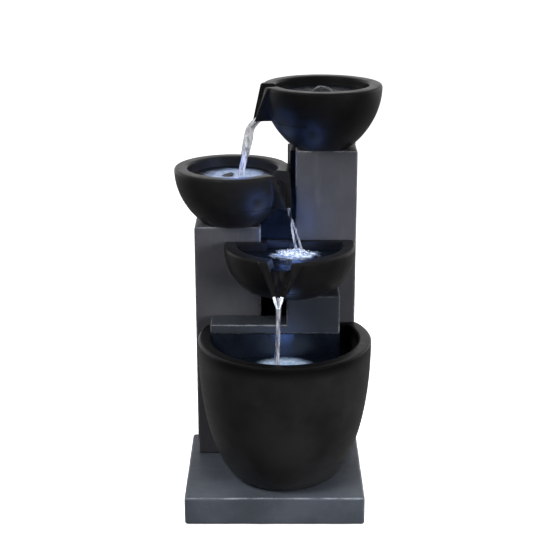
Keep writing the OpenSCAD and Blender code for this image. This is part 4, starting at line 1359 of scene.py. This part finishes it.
class FOUNTAIN_OT_stage(bpy.types.Operator):
    """Set the floor, the camera and the lights"""

    bl_idname = "fountain.stage"
    bl_label = "Stage"

    def execute(self, context):
        studio = settings().studio
        scene = bpy.context.scene
        scene.view_settings.view_transform = "Standard"
        ground = bpy.data.meshes.new("floor")
        ground.from_pydata([(-15, -15, 0), (15, -15, 0), (15, 15, 0), (-15, 15, 0)], [], [(0, 1, 2, 3)])
        studio_piece("floor", ground, 0.85)
        backdrop = studio_piece("backdrop", rod_mesh((0, 0, -0.002), (0, 0, 12), 14, "backdrop"), 1.0)
        backdrop.visible_shadow = False
        backdrop.visible_transmission = False
        eye = bpy.data.cameras.new("camera")
        eye.lens = studio.lens
        eye.sensor_width = 36.0
        camera = bpy.data.objects.new("camera", eye)
        camera.location = studio.eye
        camera.rotation_euler = (math.pi / 2 - studio.tilt, 0, 0)
        scene.collection.objects.link(camera)
        scene.camera = camera
        middle = Vector((0, 0, 0.25))
        for name, place, size, power in (("left_high", (-0.95, -0.95, 1.45), 0.7, studio.key),
                                         ("right_low", (1.25, -1.1, 0.55), 0.7, studio.fill),
                                         ("overhead", (0.1, -0.1, 2.1), 1.2, studio.over)):
            panel = place_light(name, "AREA", place, power)
            panel.data.size = size
            panel.rotation_euler = (middle - Vector(place)).to_track_quat("-Z", "Y").to_euler()
            panel.visible_glossy = False
        # lamplight on the walls round the water, then its reflection in the paint, in watts
        for name, place, power in (("second_glow", at(-45, 50, 412), 0.014),
                                   ("third_glow", at(16, -6, 330), 0.015),
                                   ("basin_glow", at(12, -50, 196), 0.009),
                                   ("second_shine", at(-45, 50, 412), 0.30),
                                   ("third_shine", at(16, -6, 330), 0.50),
                                   ("basin_shine", at(12, -50, 200), 0.035)):
            bulb = place_light(name, "POINT", place, power)
            bulb.data.shadow_soft_size = 0.012
            bulb.data.color = (0.16, 0.33, 1.0)
            bulb.visible_diffuse = name.endswith("glow")
            bulb.visible_glossy = name.endswith("shine")
        scene.world = studio_world()
        return {"FINISHED"}


PIECE_OPERATORS = (
    FOUNTAIN_OT_stage, FOUNTAIN_OT_plinth, FOUNTAIN_OT_pillars, FOUNTAIN_OT_door, FOUNTAIN_OT_step,
    FOUNTAIN_OT_basin, FOUNTAIN_OT_bowls, FOUNTAIN_OT_pools, FOUNTAIN_OT_falls, FOUNTAIN_OT_pump,
    FOUNTAIN_OT_wiring,
)


class FOUNTAIN_PT_panel(bpy.types.Panel):
    """The fountain's settings and its pieces"""

    bl_idname = "FOUNTAIN_PT_panel"
    bl_label = "Tabletop fountain"
    bl_space_type = "VIEW_3D"
    bl_region_type = "UI"
    bl_category = "Fountain"

    def draw(self, context):
        layout = self.layout
        fountain = context.scene.fountain
        for group in (fountain.bowl, fountain.cast, fountain.water, fountain.studio):
            box = layout.box()
            for name in group.bl_rna.properties.keys():
                if name not in ("rna_type", "name"):
                    box.prop(group, name)
        for operator in PIECE_OPERATORS:
            layout.operator(operator.bl_idname)


CLASSES = (BowlSettings, CastSettings, WaterSettings, StudioSettings, FountainSettings,
           *PIECE_OPERATORS, FOUNTAIN_PT_panel)


def register():
    for made in CLASSES:
        bpy.utils.register_class(made)
    bpy.types.Scene.fountain = PointerProperty(type=FountainSettings)


def unregister():
    del bpy.types.Scene.fountain
    for made in reversed(CLASSES):
        bpy.utils.unregister_class(made)


def main():
    """Builds the whole scene"""
    register()
    for operator in PIECE_OPERATORS:
        group, name = operator.bl_idname.split(".")
        getattr(getattr(bpy.ops, group), name)()


if __name__ == "__main__":
    main()
